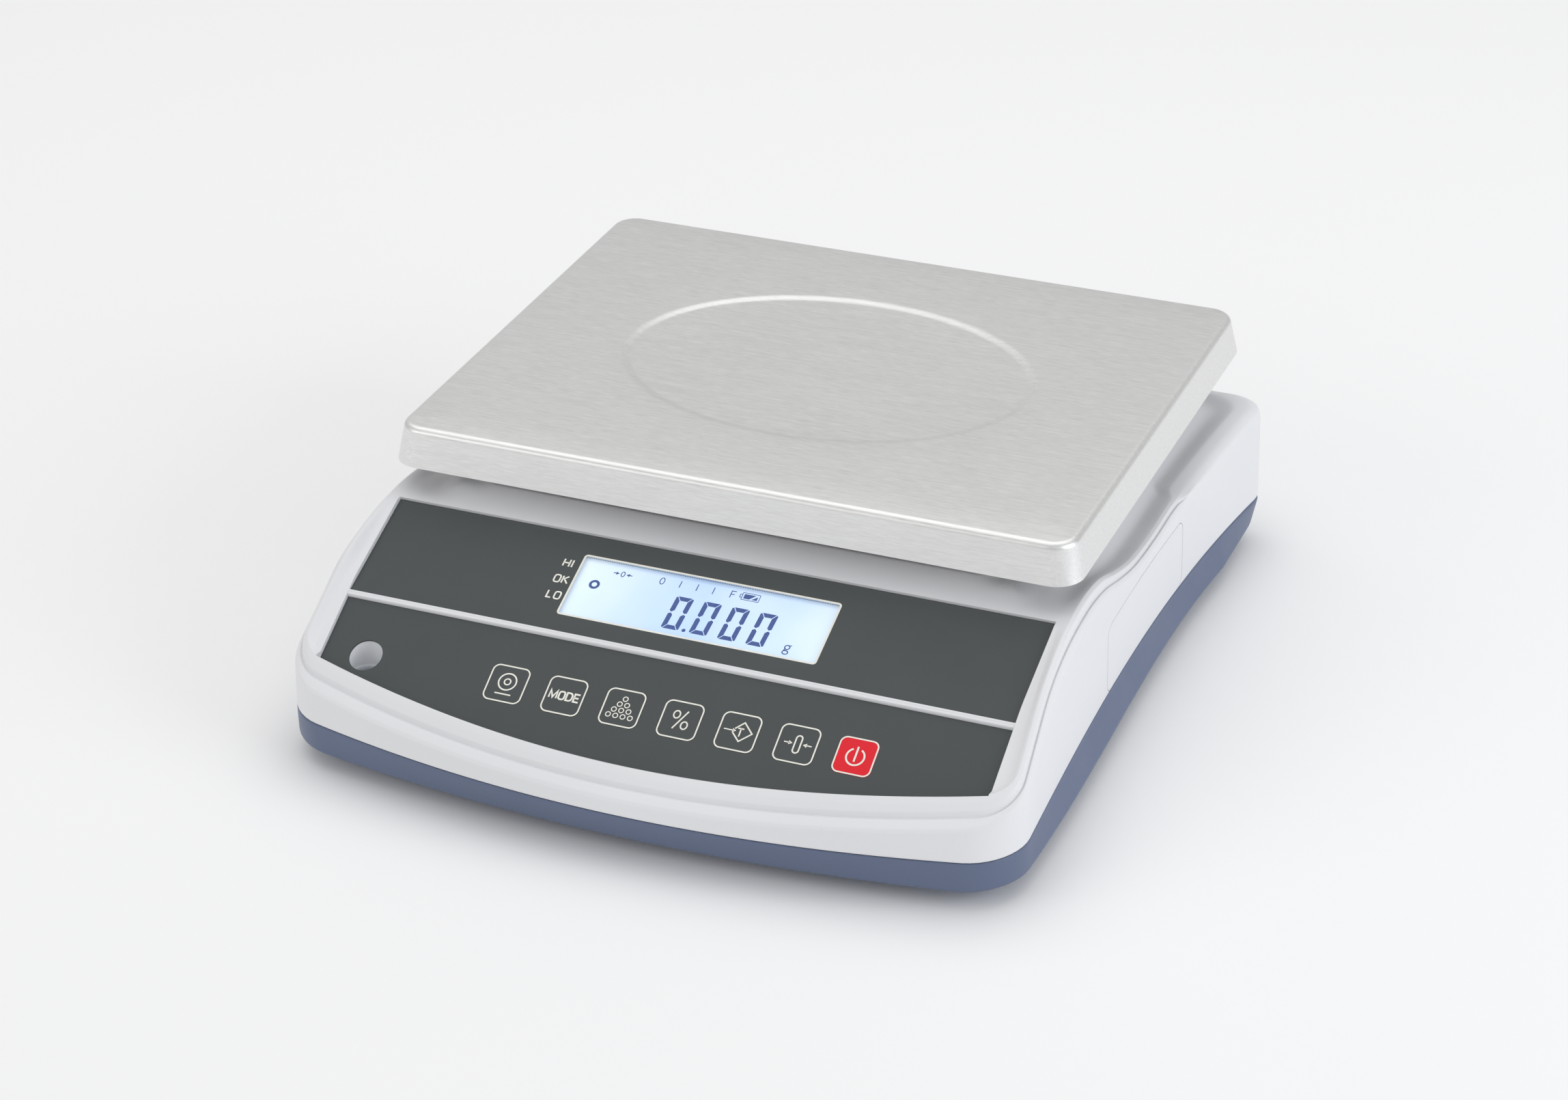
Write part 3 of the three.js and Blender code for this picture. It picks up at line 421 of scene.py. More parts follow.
WHITE = moulded("case white", (0.8, 0.803, 0.82), 0.42, 0.35)
BLUE = moulded("case blue grey", (0.118, 0.15, 0.24), 0.42, 0.6)
FILM = moulded("overlay film", (0.074, 0.083, 0.083), 0.62, 0.2, 0.03, 0.3)
RED_FILM = moulded("power key film", (0.8, 0.018, 0.032), 0.55, 0.2, 0.03, 0.25)
GREY = moulded("level cup grey", (0.84, 0.85, 0.87), 0.4, 0.3)
BLACK = moulded("black plastic", (0.015, 0.015, 0.017), 0.45, 0.3)
RUBBER = moulded("black rubber", (0.012, 0.012, 0.012), 0.8, 0.5, 0.2)
ZINC = brushed("zinc plated steel", (0.56, 0.58, 0.6), 0.38, (400, 400, 90))
ALUMINIUM = brushed("bare aluminium", (0.62, 0.63, 0.64), 0.4, (60, 700, 700))
WRAP = moulded("battery wrap", (0.02, 0.13, 0.42), 0.3, 0.5)


def circuit_board():
    look = Look("green circuit board", (0.012, 0.12, 0.045), 0.35)
    where = look.node("TexCoord").outputs["Object"]
    cells = look.node("TexVoronoi", {"Vector": where, "Scale": 260.0}).outputs["Distance"]
    look.tint(cells, 0.6, 1.5, 0.05, 0.3)
    look.bump(cells, 0.3, 0.0003, 0.2)
    return look.material


def clear_plastic():
    """A thin clear window: what is behind it, under a faint reflection."""
    look = Look("clear window", (0.95, 0.97, 1.0), 0.06)
    see = look.node("BsdfTransparent", {"Color": (0.97, 0.98, 1.0, 1)})
    shine = look.node("BsdfGlossy", {"Roughness": 0.12})
    slant = look.node("LayerWeight", {"Blend": 0.03}).outputs["Facing"]
    mixed = look.node("MixShader", {0: slant})
    look.links.new(see.outputs[0], mixed.inputs[1])
    look.links.new(shine.outputs[0], mixed.inputs[2])
    look.links.new(mixed.outputs[0], look.nodes["Material Output"].inputs["Surface"])
    return look.material


def lit_glass():
    """The display glass, lit from behind: pale blue, whiter towards the ends."""
    look = Look("lit display glass", (0.5, 0.62, 0.85), 0.25, Emission_Strength=0.3)
    where = look.node("SeparateXYZ", {0: look.node("TexCoord").outputs["Object"]})
    ends = look.math("ABSOLUTE", look.math("SUBTRACT", where.outputs[0], WINDOW["x"] * MM))
    wobble = look.span(look.noise(22, 2), 0.3, 0.7, -0.012, 0.012)
    ends = look.math("ADD", ends, wobble)
    ramp = look.node("ValToRGB", {"Fac": look.span(ends, 0.0, 0.062, 0, 1)})
    ramp.color_ramp.elements[0].color = (0.52, 0.69, 0.94, 1)
    ramp.color_ramp.elements[1].color = (0.82, 0.93, 1.0, 1)
    for socket in ("Base Color", "Emission Color"):
        look.links.new(ramp.outputs["Color"], look.shader.inputs[socket])
    return look.material


def ink(name, color):
    """Printing ink: a flat colour, a little uneven."""
    look = Look(name, color, 0.45)
    look.tint(look.noise(400, 2), 0.97, 1.03)
    return look.material


def stainless():
    """Pan steel: brushed across its width, with the lines drawn out in the reflections."""
    look = Look("brushed stainless steel", (0.84, 0.837, 0.83), 0.38, 1.0, Anisotropic=0.4)
    fine = look.noise(1.0, 3, (150, 3400, 3400), 0.65)
    broad = look.noise(1.0, 2, (40, 700, 700), 0.5)
    both = look.math("MULTIPLY_ADD", broad, 0.25, look.math("MULTIPLY", fine, 0.75))
    look.tint(both, 0.9, 1.06, 0.38, 0.62)
    look.rough(both, 0.32, 0.44)
    look.bump(both, 0.14, 0.0001)
    tangent = look.node("Tangent", direction_type="UV_MAP", uv_map="grain")
    look.links.new(tangent.outputs[0], look.shader.inputs["Tangent"])
    return look.material


BOARD, CLEAR, LIT, STEEL = circuit_board(), clear_plastic(), lit_glass(), stainless()
CREAM_INK = ink("cream ink", (0.88, 0.87, 0.79))
SEGMENT_INK = ink("display segments", (0.03, 0.085, 0.31))


# ---- The housing's outline and heights ------------------------------------------------


def smoothstep(x, low, high):
    t = np.clip((np.asarray(x, float) - low) / (high - low), 0, 1)
    return t * t * (3 - 2 * t)


def mix(a, b, t):
    return a + (b - a) * t


def parting_half_width(y):
    s = (y - 10) / 150
    return 154.7 + 7.9 * s * s + 2.4 * s**3


def base_half_width(y):
    s = (np.minimum(y, 120) - 35) / 130
    return 159.5 + 6.3 * s * s + 4.5 * s**3


def curve_through(points):
    """A smooth curve through (y, z) points, as a function of y."""
    p = np.array(points, float)
    q = np.vstack([p[:1], p, p[-1:]])
    t = np.linspace(0, 1, 24, endpoint=False)[:, None]
    out = []
    for a, b, c, d in zip(q, q[1:], q[2:], q[3:]):
        v, w = (c - a) / 2, (d - b) / 2
        out.append((2 * b - 2 * c + v + w) * t**3 + (3 * c - 3 * b - 2 * v - w) * t**2 + v * t + b)
    out = np.vstack([*out, p[-1:]])
    return lambda y: np.interp(y, out[:, 0], out[:, 1])


edge_height = curve_through([
    (-180, 27), (-166, 34.3), (-150, 42.5), (-133, 51.5), (-115, 62.5), (-98, 71.5),
    (-80, 77), (-60, 80.3), (-42, 80.4), (-22, 77), (-2, 69.8), (14, 65), (28, 62.8),
    (48, 62.4), (70, 64.2), (100, 65.4), (130, 67.4), (155, 69.2), (180, 70),
])
ledge_height = curve_through([
    (-180, 25), (-166, 31.3), (-150, 39), (-133, 47.5), (-115, 59), (-98, 69),
    (-75, 74.7), (-45, 75.8), (-22, 72.6), (-2, 66.6), (14, 62.6), (28, 60.8),
    (48, 60.6), (70, 62.3), (86, 62), (105, 61.2), (130, 62.6), (155, 64.2), (180, 65),
])

STEPS = {"front": 30, "front_corner": 10, "side": 90, "rear_corner": 8, "rear": 14}


def corner_arc(start, corner, end, steps):
    angle = np.arange(steps)[:, None] / steps * math.pi / 2
    return corner + (start - corner) * (1 - np.sin(angle)) + (end - corner) * (1 - np.cos(angle))


def outline(front, bow, half_width, rear, front_corner, rear_corner):
    """A closed outline in plan, anticlockwise from the middle of the front."""

    def front_y(x):
        return front + x * x / (2 * bow)

    x = half_width(front_y(half_width(front)))
    corner = np.array([x, front_y(x)])
    arc_start = np.array([x - front_corner, front_y(x - front_corner)])
    y = corner[1] + front_corner
    side_start = np.array([half_width(y), y])
    side_end = np.array([half_width(rear - rear_corner), rear - rear_corner])
    rear_point = np.array([half_width(rear), rear])
    rear_start = np.array([rear_point[0] - rear_corner, rear])
    along = np.linspace(0, arc_start[0], STEPS["front"], endpoint=False)
    up = np.linspace(side_start[1], side_end[1], STEPS["side"], endpoint=False)
    back = np.linspace(rear_start[0], 0, STEPS["rear"] + 1)
    right = np.vstack([
        np.c_[along, front_y(along)],
        corner_arc(arc_start, corner, side_start, STEPS["front_corner"]),
        np.c_[half_width(up), up],
        corner_arc(side_end, rear_point, rear_start, STEPS["rear_corner"]),
        np.c_[back, np.full(len(back), rear)],
    ])
    return np.vstack([right, right[1:-1][::-1] * [-1, 1]])


def housing_outline(at_front, at_side, at_rear):
    """The housing's outline at the parting line, moved in by the three insets."""

    def half_width(y):
        return parting_half_width(y) - mix(at_side, at_rear, smoothstep(y, 74, 84))

    corner = max(FRONT_CORNER - 0.8 * at_front, 8)
    return outline(FRONT + at_front, FRONT_BOW, half_width, REAR - at_rear, corner, REAR_CORNER)


def base_outline(inset):
    def half_width(y):
        return base_half_width(y) - inset

    front, rear = BASE["front"] + inset, BASE["rear"] - inset
    return outline(front, BASE["bow"], half_width, rear, FRONT_CORNER, REAR_CORNER)


def plateau_outline(inset):
    def half_width(y):
        return np.full(np.shape(y), PLATEAU["half"] - inset)

    front, rear = PLATEAU["front"] + inset, PLATEAU["rear"] - inset
    return outline(front, STRAIGHT, half_width, rear, PLATEAU["corner"], PLATEAU["corner"])


def deck_height(x, y, across):
    """Height of the deck; "across" runs from 0 at the rim to 1 at the plateau."""
    shoulder = PLATEAU["height"] - 0.8
    inside = smoothstep(parting_half_width(y) - 5 - np.abs(x), 0, 4)
    lip = np.minimum(edge_height(y), panel_height(y) + PANEL_LIP)
    rim = mix(edge_height(y), lip, np.where(y < UPPER["y"], inside, 0))
    climb = np.clip((y + 64) / 12, 0, 1) ** 2
    in_front = 1 - smoothstep(np.abs(x), PLATEAU["half"], 135)
    ahead = mix(rim, shoulder, climb * in_front)
    floor = np.maximum(VALLEY, rim - 1.8)
    if across < 0.25:
        gutter = mix(rim, floor, smoothstep(across, 0, 0.25))
    else:
        gutter = mix(floor, shoulder, smoothstep(across, 0.25, 1))
    return mix(ahead, gutter, smoothstep(y, -62, -30))


def panel_height(y):
    planes = [s["z"] + (y - s["y"]) * math.tan(math.radians(s["tilt"])) for s in (UPPER, LOWER)]
    return np.minimum(*planes)


def under_deck(y, z):
    """Height of the inside of the deck: under the panel in front and the gutter behind."""
    roof = np.interp(y, [-57, -44], [71.5, VALLEY - WALL])
    return np.minimum(np.minimum(z - WALL, roof), panel_height(np.minimum(y, -60)) - 4.4)


def deck_rings(rim, plateau, inner):
    rings = []
    for s in np.linspace(0, 1, 33)[1:]:
        q = mix(rim, plateau, s)
        z = deck_height(q[:, 0], q[:, 1], s)
        rings.append(ring_at(q, under_deck(q[:, 1], z) if inner else z))
    return rings


def by_height(insets, height):
    """The housing's outline with its height given as a function of y."""
    ring = housing_outline(*insets)
    return ring_at(ring, height(ring[:, 1]))


def under_ledge(at_front, at_side):
    return lambda y: ledge_height(y) - mix(at_front, at_side, smoothstep(y, -160, -120))


def groove_bottom(y):
    return ledge_height(y) - mix(0.9, -0.9, smoothstep(y, 76, 84))


def above_ledge(part):
    return lambda y: mix(ledge_height(y), edge_height(y), part)


def top_shell(name):
    """Both skins of the top case: wall, ledge, shoulder, rim, gutter and plateau."""
    rim = housing_outline(13.5, 5, 9)
    wall = [
        ring_at(housing_outline(0.5, 0.5, 0.5), PARTING + GAP),
        ring_at(housing_outline(0, 0, 0), PARTING + GAP + 0.5),
        by_height((2, 0.5, 0.4), under_ledge(0.9, 2.6)),
        by_height((3, 1, 0.6), under_ledge(0.1, 1.5)),
        by_height((6.6, 2.0, 0.8), under_ledge(-0.1, 0)),
        by_height((8.1, 2.75, 1.0), groove_bottom),
        by_height((8.7, 2.95, 1.6), above_ledge(0.4)),
        by_height((11, 3.5, 4), above_ledge(0.78)),
        ring_at(rim, edge_height(rim[:, 1])),
    ]
    deck = deck_rings(rim, plateau_outline(0), False)
    softness = mix(0.45, 2.2, smoothstep(rim[:, 1], 76, 88))
    top = rounded_rings([*wall, deck[0]], softness)
    top += deck[1:]
    edge = [ring_at(plateau_outline(inset), PLATEAU["height"]) for inset in (1.2, 4)]
    top += rounded_rings([deck[-1], *edge], 1)[1:]
    top = filled_in(top, 8)
    inner_rim = housing_outline(16, 8, 11)
    y = inner_rim[:, 1]
    roof = under_deck(y, edge_height(y))
    lower = housing_outline(5, 4.2, 4)
    inner = [
        ring_at(housing_outline(3, 2.6, 2.6), PARTING + GAP),
        ring_at(lower, np.minimum(ledge_height(lower[:, 1]) - 5, roof - 1.5)),
        ring_at(inner_rim, roof),
    ]
    inner = filled_in(inner, 12) + deck_rings(inner_rim, plateau_outline(3), True)[::2]
    inner.append(ring_at(plateau_outline(5), VALLEY - WALL))
    return loft(name, [*inner[::-1], *top])


def rib_points():
    """The rounded rib between the two plates, from the upper plate's foot to the lower's head."""
    upper = np.array(under_panel(UPPER, -UPPER["length"], 0))
    lower = np.array(under_panel(LOWER, 0, 0))
    lean = math.radians(25)
    out = np.array([-math.sin(lean), math.cos(lean)])
    across = np.linspace(0.02, 0.98, 17)
    height = 1.75 * (1 - (2 * across - 1) ** 4) - 0.4 * np.sin(math.pi * across) ** 4 - 0.3
    return [mix(upper, lower, t) + out * h for t, h in zip(across, height)]


def recess_cutter():
    """The room over the two plates, with the rib left standing."""
    floor = PLATE + GAP
    sections = []
    for x in np.linspace(-PANEL_HALF - GAP, PANEL_HALF + GAP, 73):
        front = -LOWER["length"] - GAP + x * x / (2 * LOWER["bow"])
        points = [
            under_panel(UPPER, GAP, -30), under_panel(UPPER, GAP, floor),
            under_panel(UPPER, -UPPER["length"], floor), *rib_points(),
            under_panel(LOWER, GAP, floor), under_panel(LOWER, front, floor),
            under_panel(LOWER, front, -40),
        ]
        sections.append(np.array([(x, y, z) for y, z in points]))
    return loft("cutter", sections)


def opening_cutter(outline, low, high, plane=Matrix()):
    return place(prism("cutter", outline, low, high), plane)


def rear_cutter(outline, depth):
    """A hole through the rear wall; the outline is in (x, z)."""
    x, z = outline.T
    rings = [np.c_[x, np.full(len(x), y), z] for y in (REAR + 5, REAR - depth)]
    return loft("cutter", rings)


def side_cutter(inset):
    """The side cover's opening, or with an inset the cover itself."""
    w, h = SIDE_OPENING["w"] - 2 * inset, SIDE_OPENING["h"] - 2 * inset
    corner = SIDE_OPENING["corner"] - inset
    outline = rounded_rectangle(SIDE_OPENING["y"], SIDE_OPENING["z"], w, h, corner)
    rings = [np.c_[np.full(len(outline), x), outline] for x in (140, 175)]
    return loft("cutter", rings)


# ---- Housing --------------------------------------------------------------------------

level = centre_of("level_cup")
key_places = {key: centre_of(key + "_key")[0] for key in KEYS}


def window_outline(grow, r):
    w, h = WINDOW["w"] + 2 * grow, WINDOW["h"] + 2 * grow
    return rounded_rectangle(WINDOW["x"], WINDOW["y"], w, h, r)


def serial_outline():
    w, h = SERIAL_SOCKET["w"], SERIAL_SOCKET["h"]
    return rounded_rectangle(SERIAL_SOCKET["x"], SERIAL_SOCKET["z"], w, h, 1)


def key_outline(key, grow, r):
    side = KEY_SIDES[key] + grow
    return rounded_rectangle(key_places[key], KEY_Y, side, side, r)


def top_case_cutters():
    """Wells and openings in the top case for what sits in it or passes through it."""
    cutters = [
        opening_cutter(window_outline(2.5, 1), -12, 3, UPPER_PLANE),
        opening_cutter(circle(level[0], level[1], 8.5, 64), 20, 70),
        opening_cutter(rounded_rectangle(57, 57, 46, 46, 4), 50, 95),
        opening_cutter(plateau_outline(6), 50, PLATEAU["height"] - WALL),
        rear_cutter(circle(POWER_SOCKET["x"], POWER_SOCKET["z"], POWER_SOCKET["r"], 48), 6),
        rear_cutter(serial_outline(), 9),
    ]
    for key in KEYS:
        cutters.append(opening_cutter(key_outline(key, 0.6, 3.4), -1.6, 3, LOWER_PLANE))
        plunger = circle(key_places[key], KEY_Y, 4, 32)
        cutters.append(opening_cutter(plunger, -12, 3, LOWER_PLANE))
    return cutters


shell = top_shell("top_case_shell")
cover = boolean(top_shell("side_cover_panel"), [side_cutter(0.25)], "INTERSECT")
boolean(shell, [recess_cutter(), *top_case_cutters(), side_cutter(0)])
finish_piece(smooth(shell), WHITE, "housing", "case_white", "top_case")
finish_piece(smooth(cover), WHITE, "cover", "case_white", "side_cover")


def bottom_shell():
    """The base: a flat floor, flared walls, and holes for the feet and the case screws."""
    inside = housing_outline(8, 4.5, 5)
    rim = housing_outline(0.5, 0.5, 0.5)
    outer = [
        ring_at(rim, PARTING),
        ring_at(housing_outline(0.05, 0.05, 0.05), PARTING - 0.5),
        ring_at(housing_outline(0, 0, 0), PARTING - 1.6),
        ring_at(base_outline(0), BASE_BOTTOM + 1.6),
        ring_at(base_outline(1.6), BASE_BOTTOM),
        ring_at(base_outline(6), BASE_BOTTOM),
    ]
    floor = BASE_BOTTOM + WALL
    inner = [
        ring_at(housing_outline(9, 6, 6), floor),
        ring_at(inside, floor + 1),
        ring_at(inside, PARTING),
    ]
    case = loft("bottom_case_shell", [*inner, *rounded_rings(outer, 1.2)])
    holes = []
    for i in range(1, 5):
        x, y, _ = centre_of(f"foot_pad_{i}")
        holes.append(opening_cutter(circle(x, y, 4.3, 32), 0, 30))
    for i in range(1, 7):
        x, y, _ = centre_of(f"case_screw_{i}")
        holes.append(opening_cutter(circle(x, y, 3.8, 32), 0, BASE_BOTTOM + 2.4))
    return boolean(case, holes)


finish_piece(smooth(bottom_shell()), BLUE, "housing", "case_blue", "bottom_case")


# ---- Front panel ----------------------------------------------------------------------


def lower_outline():
    x = np.linspace(-PANEL_HALF, PANEL_HALF, 61)
    front = np.c_[x, -LOWER["length"] + x * x / (2 * LOWER["bow"])]
    return np.vstack([front, [(PANEL_HALF, 0), (-PANEL_HALF, 0)]])


def upper_outline():
    foot = -UPPER["length"]
    return np.array([(-PANEL_HALF, foot), (PANEL_HALF, foot), (PANEL_HALF, 0), (-PANEL_HALF, 0)])


hole = window_outline(0.02, 1.6)[::-1]
sheet = sheet_with_holes("display_film", [upper_outline(), hole], -PLATE, 0)
finish_piece(place(sheet, UPPER_PLANE), FILM, "housing", "overlay_film", "display_overlay")

holes = [key_outline(key, 0.1, 3.2)[::-1] for key in KEYS]
holes.append(circle(level[0], LEVEL_Y, 7.2, 72)[::-1])
sheet = sheet_with_holes("keypad_film", [lower_outline(), *holes], -PLATE, 0)
finish_piece(place(sheet, LOWER_PLANE), FILM, "housing", "overlay_film", "keypad_overlay")

window = prism("display_window", window_outline(-0.1, 1.5), -0.75, -0.05)
finish_piece(place(window, UPPER_PLANE), CLEAR, "housing", "clear_window", "lcd_window")
glass = loft("display_glass", rounded_rings([
    ring_at(window_outline(1.8, 1), -3.9), ring_at(window_outline(1.8, 1), -1.6),
    ring_at(window_outline(1.2, 1), -1.6),
], 0.3, 3))
finish_piece(place(glass, UPPER_PLANE), LIT, "housing", "lcd_glass", "lcd_glass")

border_line = Print()
border_line.stroke(window_outline(-0.42, 1.3), 0.84, True)
border = border_line.obj("display_border", UPPER_PLANE, 0.02)
finish_piece(border, CREAM_INK, "housing", "overlay_film")

lamp_words = Print()
for word, x, y in (("HI", -62.6, -17.9), ("OK", -63.3, -26.6), ("LO", -62.9, -35.1)):
    lamp_words.text(word, x, y, 3.7, 0.7, 0.3)
words = lamp_words.obj("limit_lamp_words", UPPER_PLANE, 0.03)
finish_piece(words, CREAM_INK, "housing", "overlay_film")


def segment_digit(marks, x, y, w, h, slant):
    """The figure 0 in segments, with its lower left corner at (x, y)."""
    t, gap = w * 0.27, w * 0.03
    cut, half = t * 0.28, h / 2
    left_high = [
        (0, h - cut), (0, half + gap + cut), (t / 2, half + gap), (t, half + gap + t / 2),
        (t, h - t - gap), (cut, h - gap),
    ]
    left_low = [
        (0, cut), (cut, gap), (t, t + gap), (t, half - gap - t / 2), (t / 2, half - gap),
        (0, half - gap - cut),
    ]
    bars = [
        [(cut + gap, h), (w - cut - gap, h), (w - t - gap, h - t), (t + gap, h - t)],
        [(cut + gap, 0), (t + gap, t), (w - t - gap, t), (w - cut - gap, 0)],
        left_high,
        left_low,
    ]
    bars += [[(w - a, b) for a, b in side][::-1] for side in (left_high, left_low)]
    for bar in bars:
        marks.polygon([(x + a + slant * b, y + b) for a, b in bar])


def display_figures():
    """What the display shows: 0.000 g, and a row of small symbols over it."""
    marks = Print()
    for x in (-9.9, 2.5, 14.9, 27.3):
        segment_digit(marks, x, -39.0, 7.7, 17.0, 0.045)
    marks.polygon(circle(0.15, -38.3, 0.85, 16))
    marks.ring(-45.5, -24.3, 1.75, 1.2)
    zero_mark(marks)
    charge_scale(marks)
    battery_mark(marks)
    letter_g(marks)
    for i in range(110):
        x = -54.3 + i * 1.03
        marks.stroke([(x, -11.35), (x + 0.6, -11.35)], 0.28)
    return marks


def zero_mark(marks):
    """An upright oval between two arrowheads."""
    y = -16.5
    marks.ring(-35.7, y, 0.75, 0.4, squash=1.7)
    for x, way in ((-38.6, 1), (-32.8, -1)):
        marks.stroke([(x - 1.3 * way, y), (x, y)], 0.45)
        head = [(x - 0.1 * way, y + 0.8), (x + 1.4 * way, y), (x - 0.1 * way, y - 0.8)]
        marks.polygon(head[::way])


def charge_scale(marks):
    """A scale from empty to full."""
    marks.ring(-18.2, -16.0, 0.95, 0.4, squash=1.75)
    for x in (-10.1, -2.6, 4.65):
        marks.stroke([(x - 0.05, -17.7), (x + 0.05, -14.2)], 0.42)
    marks.text("F", 12.3, -17.7, 3.5, 0.42)


def battery_mark(marks):
    """A battery with its terminal, part filled."""
    marks.stroke(rounded_rectangle(21.0, -15.7, 7.6, 3.6, 0.2, 2), 0.3, True)
    marks.stroke([(17.1, -14.9), (16.3, -14.9), (16.3, -16.5), (17.1, -16.5)], 0.3)
    marks.polygon([(18.0, -16.9), (20.6, -16.9), (23.0, -14.5), (18.0, -14.5)])
    marks.polygon([(21.6, -16.9), (24.0, -16.9), (24.0, -14.9)])


def letter_g(marks):
    """The unit: a small printed g with two bowls and an ear."""
    marks.ring(44.9, -36.6, 1.05, 0.5)
    marks.stroke([(45.6, -35.7), (46.5, -35.4)], 0.45)
    marks.ring(44.8, -39.2, 1.2, 0.5, squash=0.75)
    marks.stroke([(44.2, -37.5), (43.9, -38.1), (44.6, -38.5)], 0.45)


# The figures lie on the glass, deeper than the window, and are shifted a little so that they
# sit well in it as seen from the front right.
seen_through = Matrix.Translation((-0.73 * MM, 1.2 * MM, 0))
figures = display_figures().obj("display_figures", UPPER_PLANE @ seen_through, -1.57)
finish_piece(figures, SEGMENT_INK, "housing", "lcd_glass")


def arrow(marks, x0, x1, y):
    way = 1 if x1 > x0 else -1
    marks.stroke([(x0, y), (x1 - way, y)], 0.5)
    heel = x1 - way * 1.6
    marks.polygon([(heel, y - 0.95), (x1, y), (heel, y + 0.95)][::way])


def key_icon(key):
    """A key's border and its symbol, about the key's middle."""
    marks = Print()
    edge = KEY_SIDES[key] - 0.74
    marks.stroke(rounded_rectangle(0, 0, edge, edge, 2.8, 10), 0.62, True)
    if key == "hold":
        marks.ring(0, 1.0, 3.8, 0.65)
        marks.ring(0, 1.0, 1.35, 0.6)
        marks.stroke([(-3.6, -4.75), (3.5, -4.75)], 0.6)
    elif key == "mode":
        marks.text("MODE", -6.4, -1.8, 3.5, 0.74, 0.26)
    elif key == "count":
        for row in range(4):
            for i in range(row + 1):
                marks.ring((i - row / 2) * 3.2, 4.1 - row * 2.65, 1.02, 0.42)
    elif key == "percent":
        marks.ring(-2.2, 2.2, 1.35, 0.6, squash=1.25)
        marks.ring(2.3, -2.1, 1.35, 0.6, squash=1.25)
        marks.stroke([(-2.2, -4.3), (2.2, 4.4)], 0.62)
    elif key == "tare":
        arrow(marks, -6.2, -0.9, 0.4)
        diamond = [(-1.7, 1.3), (1.5, 4.6), (5.9, 0.3), (1.5, -4.0), (-2.2, -0.5)]
        marks.stroke(diamond, 0.6)
        marks.text("T", -0.4, -1.9, 3.6, 0.6)
    elif key == "zero":
        marks.stroke(rounded_rectangle(0.3, 0, 2.5, 7.8, 1.24, 8), 0.62, True)
        arrow(marks, -5.5, -1.9, 0.2)
        arrow(marks, 6.2, 2.5, 0.2)
    elif key == "power":
        marks.ring(0, -0.2, 3.7, 0.75, 118, 422)
        marks.stroke([(0, -2.4), (0, 4.4)], 0.75)
    return marks


def key_cap(key):
    """A thin square cap with a round plunger under it, about the key's middle."""
    side = KEY_SIDES[key]
    square = rounded_rectangle(0, 0, side, side, 3.1)
    face = rounded_rectangle(0, 0, side - 0.3, side - 0.3, 2.8)
    plunger = circle(0, 0, 3.2, 36)
    edge = [ring_at(square, 0.1 - PLATE), ring_at(square, 0.12), ring_at(face, 0.12)]
    return loft(key + "_key_cap", [
        ring_at(plunger, -6.5),
        ring_at(plunger, -PLATE),
        ring_at(square, -PLATE),
        *rounded_rings(edge, 0.1, 2),
    ])


for key in KEYS:
    at_key = LOWER_PLANE @ Matrix.Translation((key_places[key] * MM, KEY_Y * MM, 0))
    cap = smooth(place(key_cap(key), at_key))
    icon = key_icon(key).obj(key + "_key_print", at_key, 0.14)
    film, slot = (RED_FILM, "power_key_film") if key == "power" else (FILM, "key_film")
    finish_piece(cap, film, key + "_button", slot, key + "_key")
    finish_piece(icon, CREAM_INK, key + "_button", slot)


# ---- Bubble level ---------------------------------------------------------------------


def sloped_ring(r, depth):
    """A round ring about the level's axis, "depth" under the lower plate's face."""
    flat = circle(level[0], level[1], r, 72)
    t = math.radians(LOWER["tilt"])
    z = LOWER["z"] + (flat[:, 1] - LOWER["y"]) * math.tan(t) - depth / math.cos(t)
    return ring_at(flat, z)


def level_ring(r, z):
    return ring_at(circle(level[0], level[1], r, 72), z)


cup = loft("level_well", [
    level_ring(8.2, 26), sloped_ring(8.2, PLATE + GAP), sloped_ring(7.25, PLATE + GAP - 0.1),
    level_ring(7.1, 37.2), level_ring(6.3, 37.0), level_ring(6.3, 35.8),
    level_ring(6.95, 35.6), level_ring(6.95, 27.5),
])
finish_piece(smooth(cup), GREY, "housing", "grey_plastic", "level_cup")
vial = loft("level_glass", rounded_rings([
    level_ring(6.2, 28), level_ring(6.2, 35.4), level_ring(5.2, 36.2), level_ring(2.0, 36.9),
    level_ring(0.2, 36.95),
], 0.8))
finish_piece(smooth(vial, 60), CLEAR, "housing", "clear_window", "level_vial")


# ---- Pan ------------------------------------------------------------------------------

pan_low, pan_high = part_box("weighing_pan")
PAN_X, PAN_Y, _ = centre_of("weighing_pan")
PAN_TOP = pan_high[2] / MM
PAN_FOOT = pan_low[2] / MM
PAN_W = (pan_high[0] - pan_low[0]) / MM - 2 * PAN_FLARE
PAN_D = (pan_high[1] - pan_low[1]) / MM - 2 * PAN_FLARE


def pan_outline(inset):
    """The pan's rounded rectangle with points along its sides too."""
    r = max(PAN_CORNER - max(inset, -1), 0.6)
    corners = rounded_rectangle(PAN_X, PAN_Y, PAN_W - 2 * inset, PAN_D - 2 * inset, r, 12)
    arcs = np.split(corners, 4)
    along = np.linspace(0, 1, 25)[1:-1, None]
    points = []
    for arc, following in zip(arcs, [*arcs[1:], arcs[0]]):
        points += [arc, mix(arc[-1], following[0], along)]
    return np.vstack(points)


def oval_outline(grow):
    """The oval step, with its points in the same directions as the pan's rim."""
    rim = pan_outline(0) - (PAN_X, PAN_Y)
    angle = np.arctan2(rim[:, 1] / PAN_D, rim[:, 0] / PAN_W)
    rx, ry = OVAL["rx"] + grow, OVAL["ry"] + grow
    return np.c_[PAN_X + rx * np.cos(angle), PAN_Y + ry * np.sin(angle)]


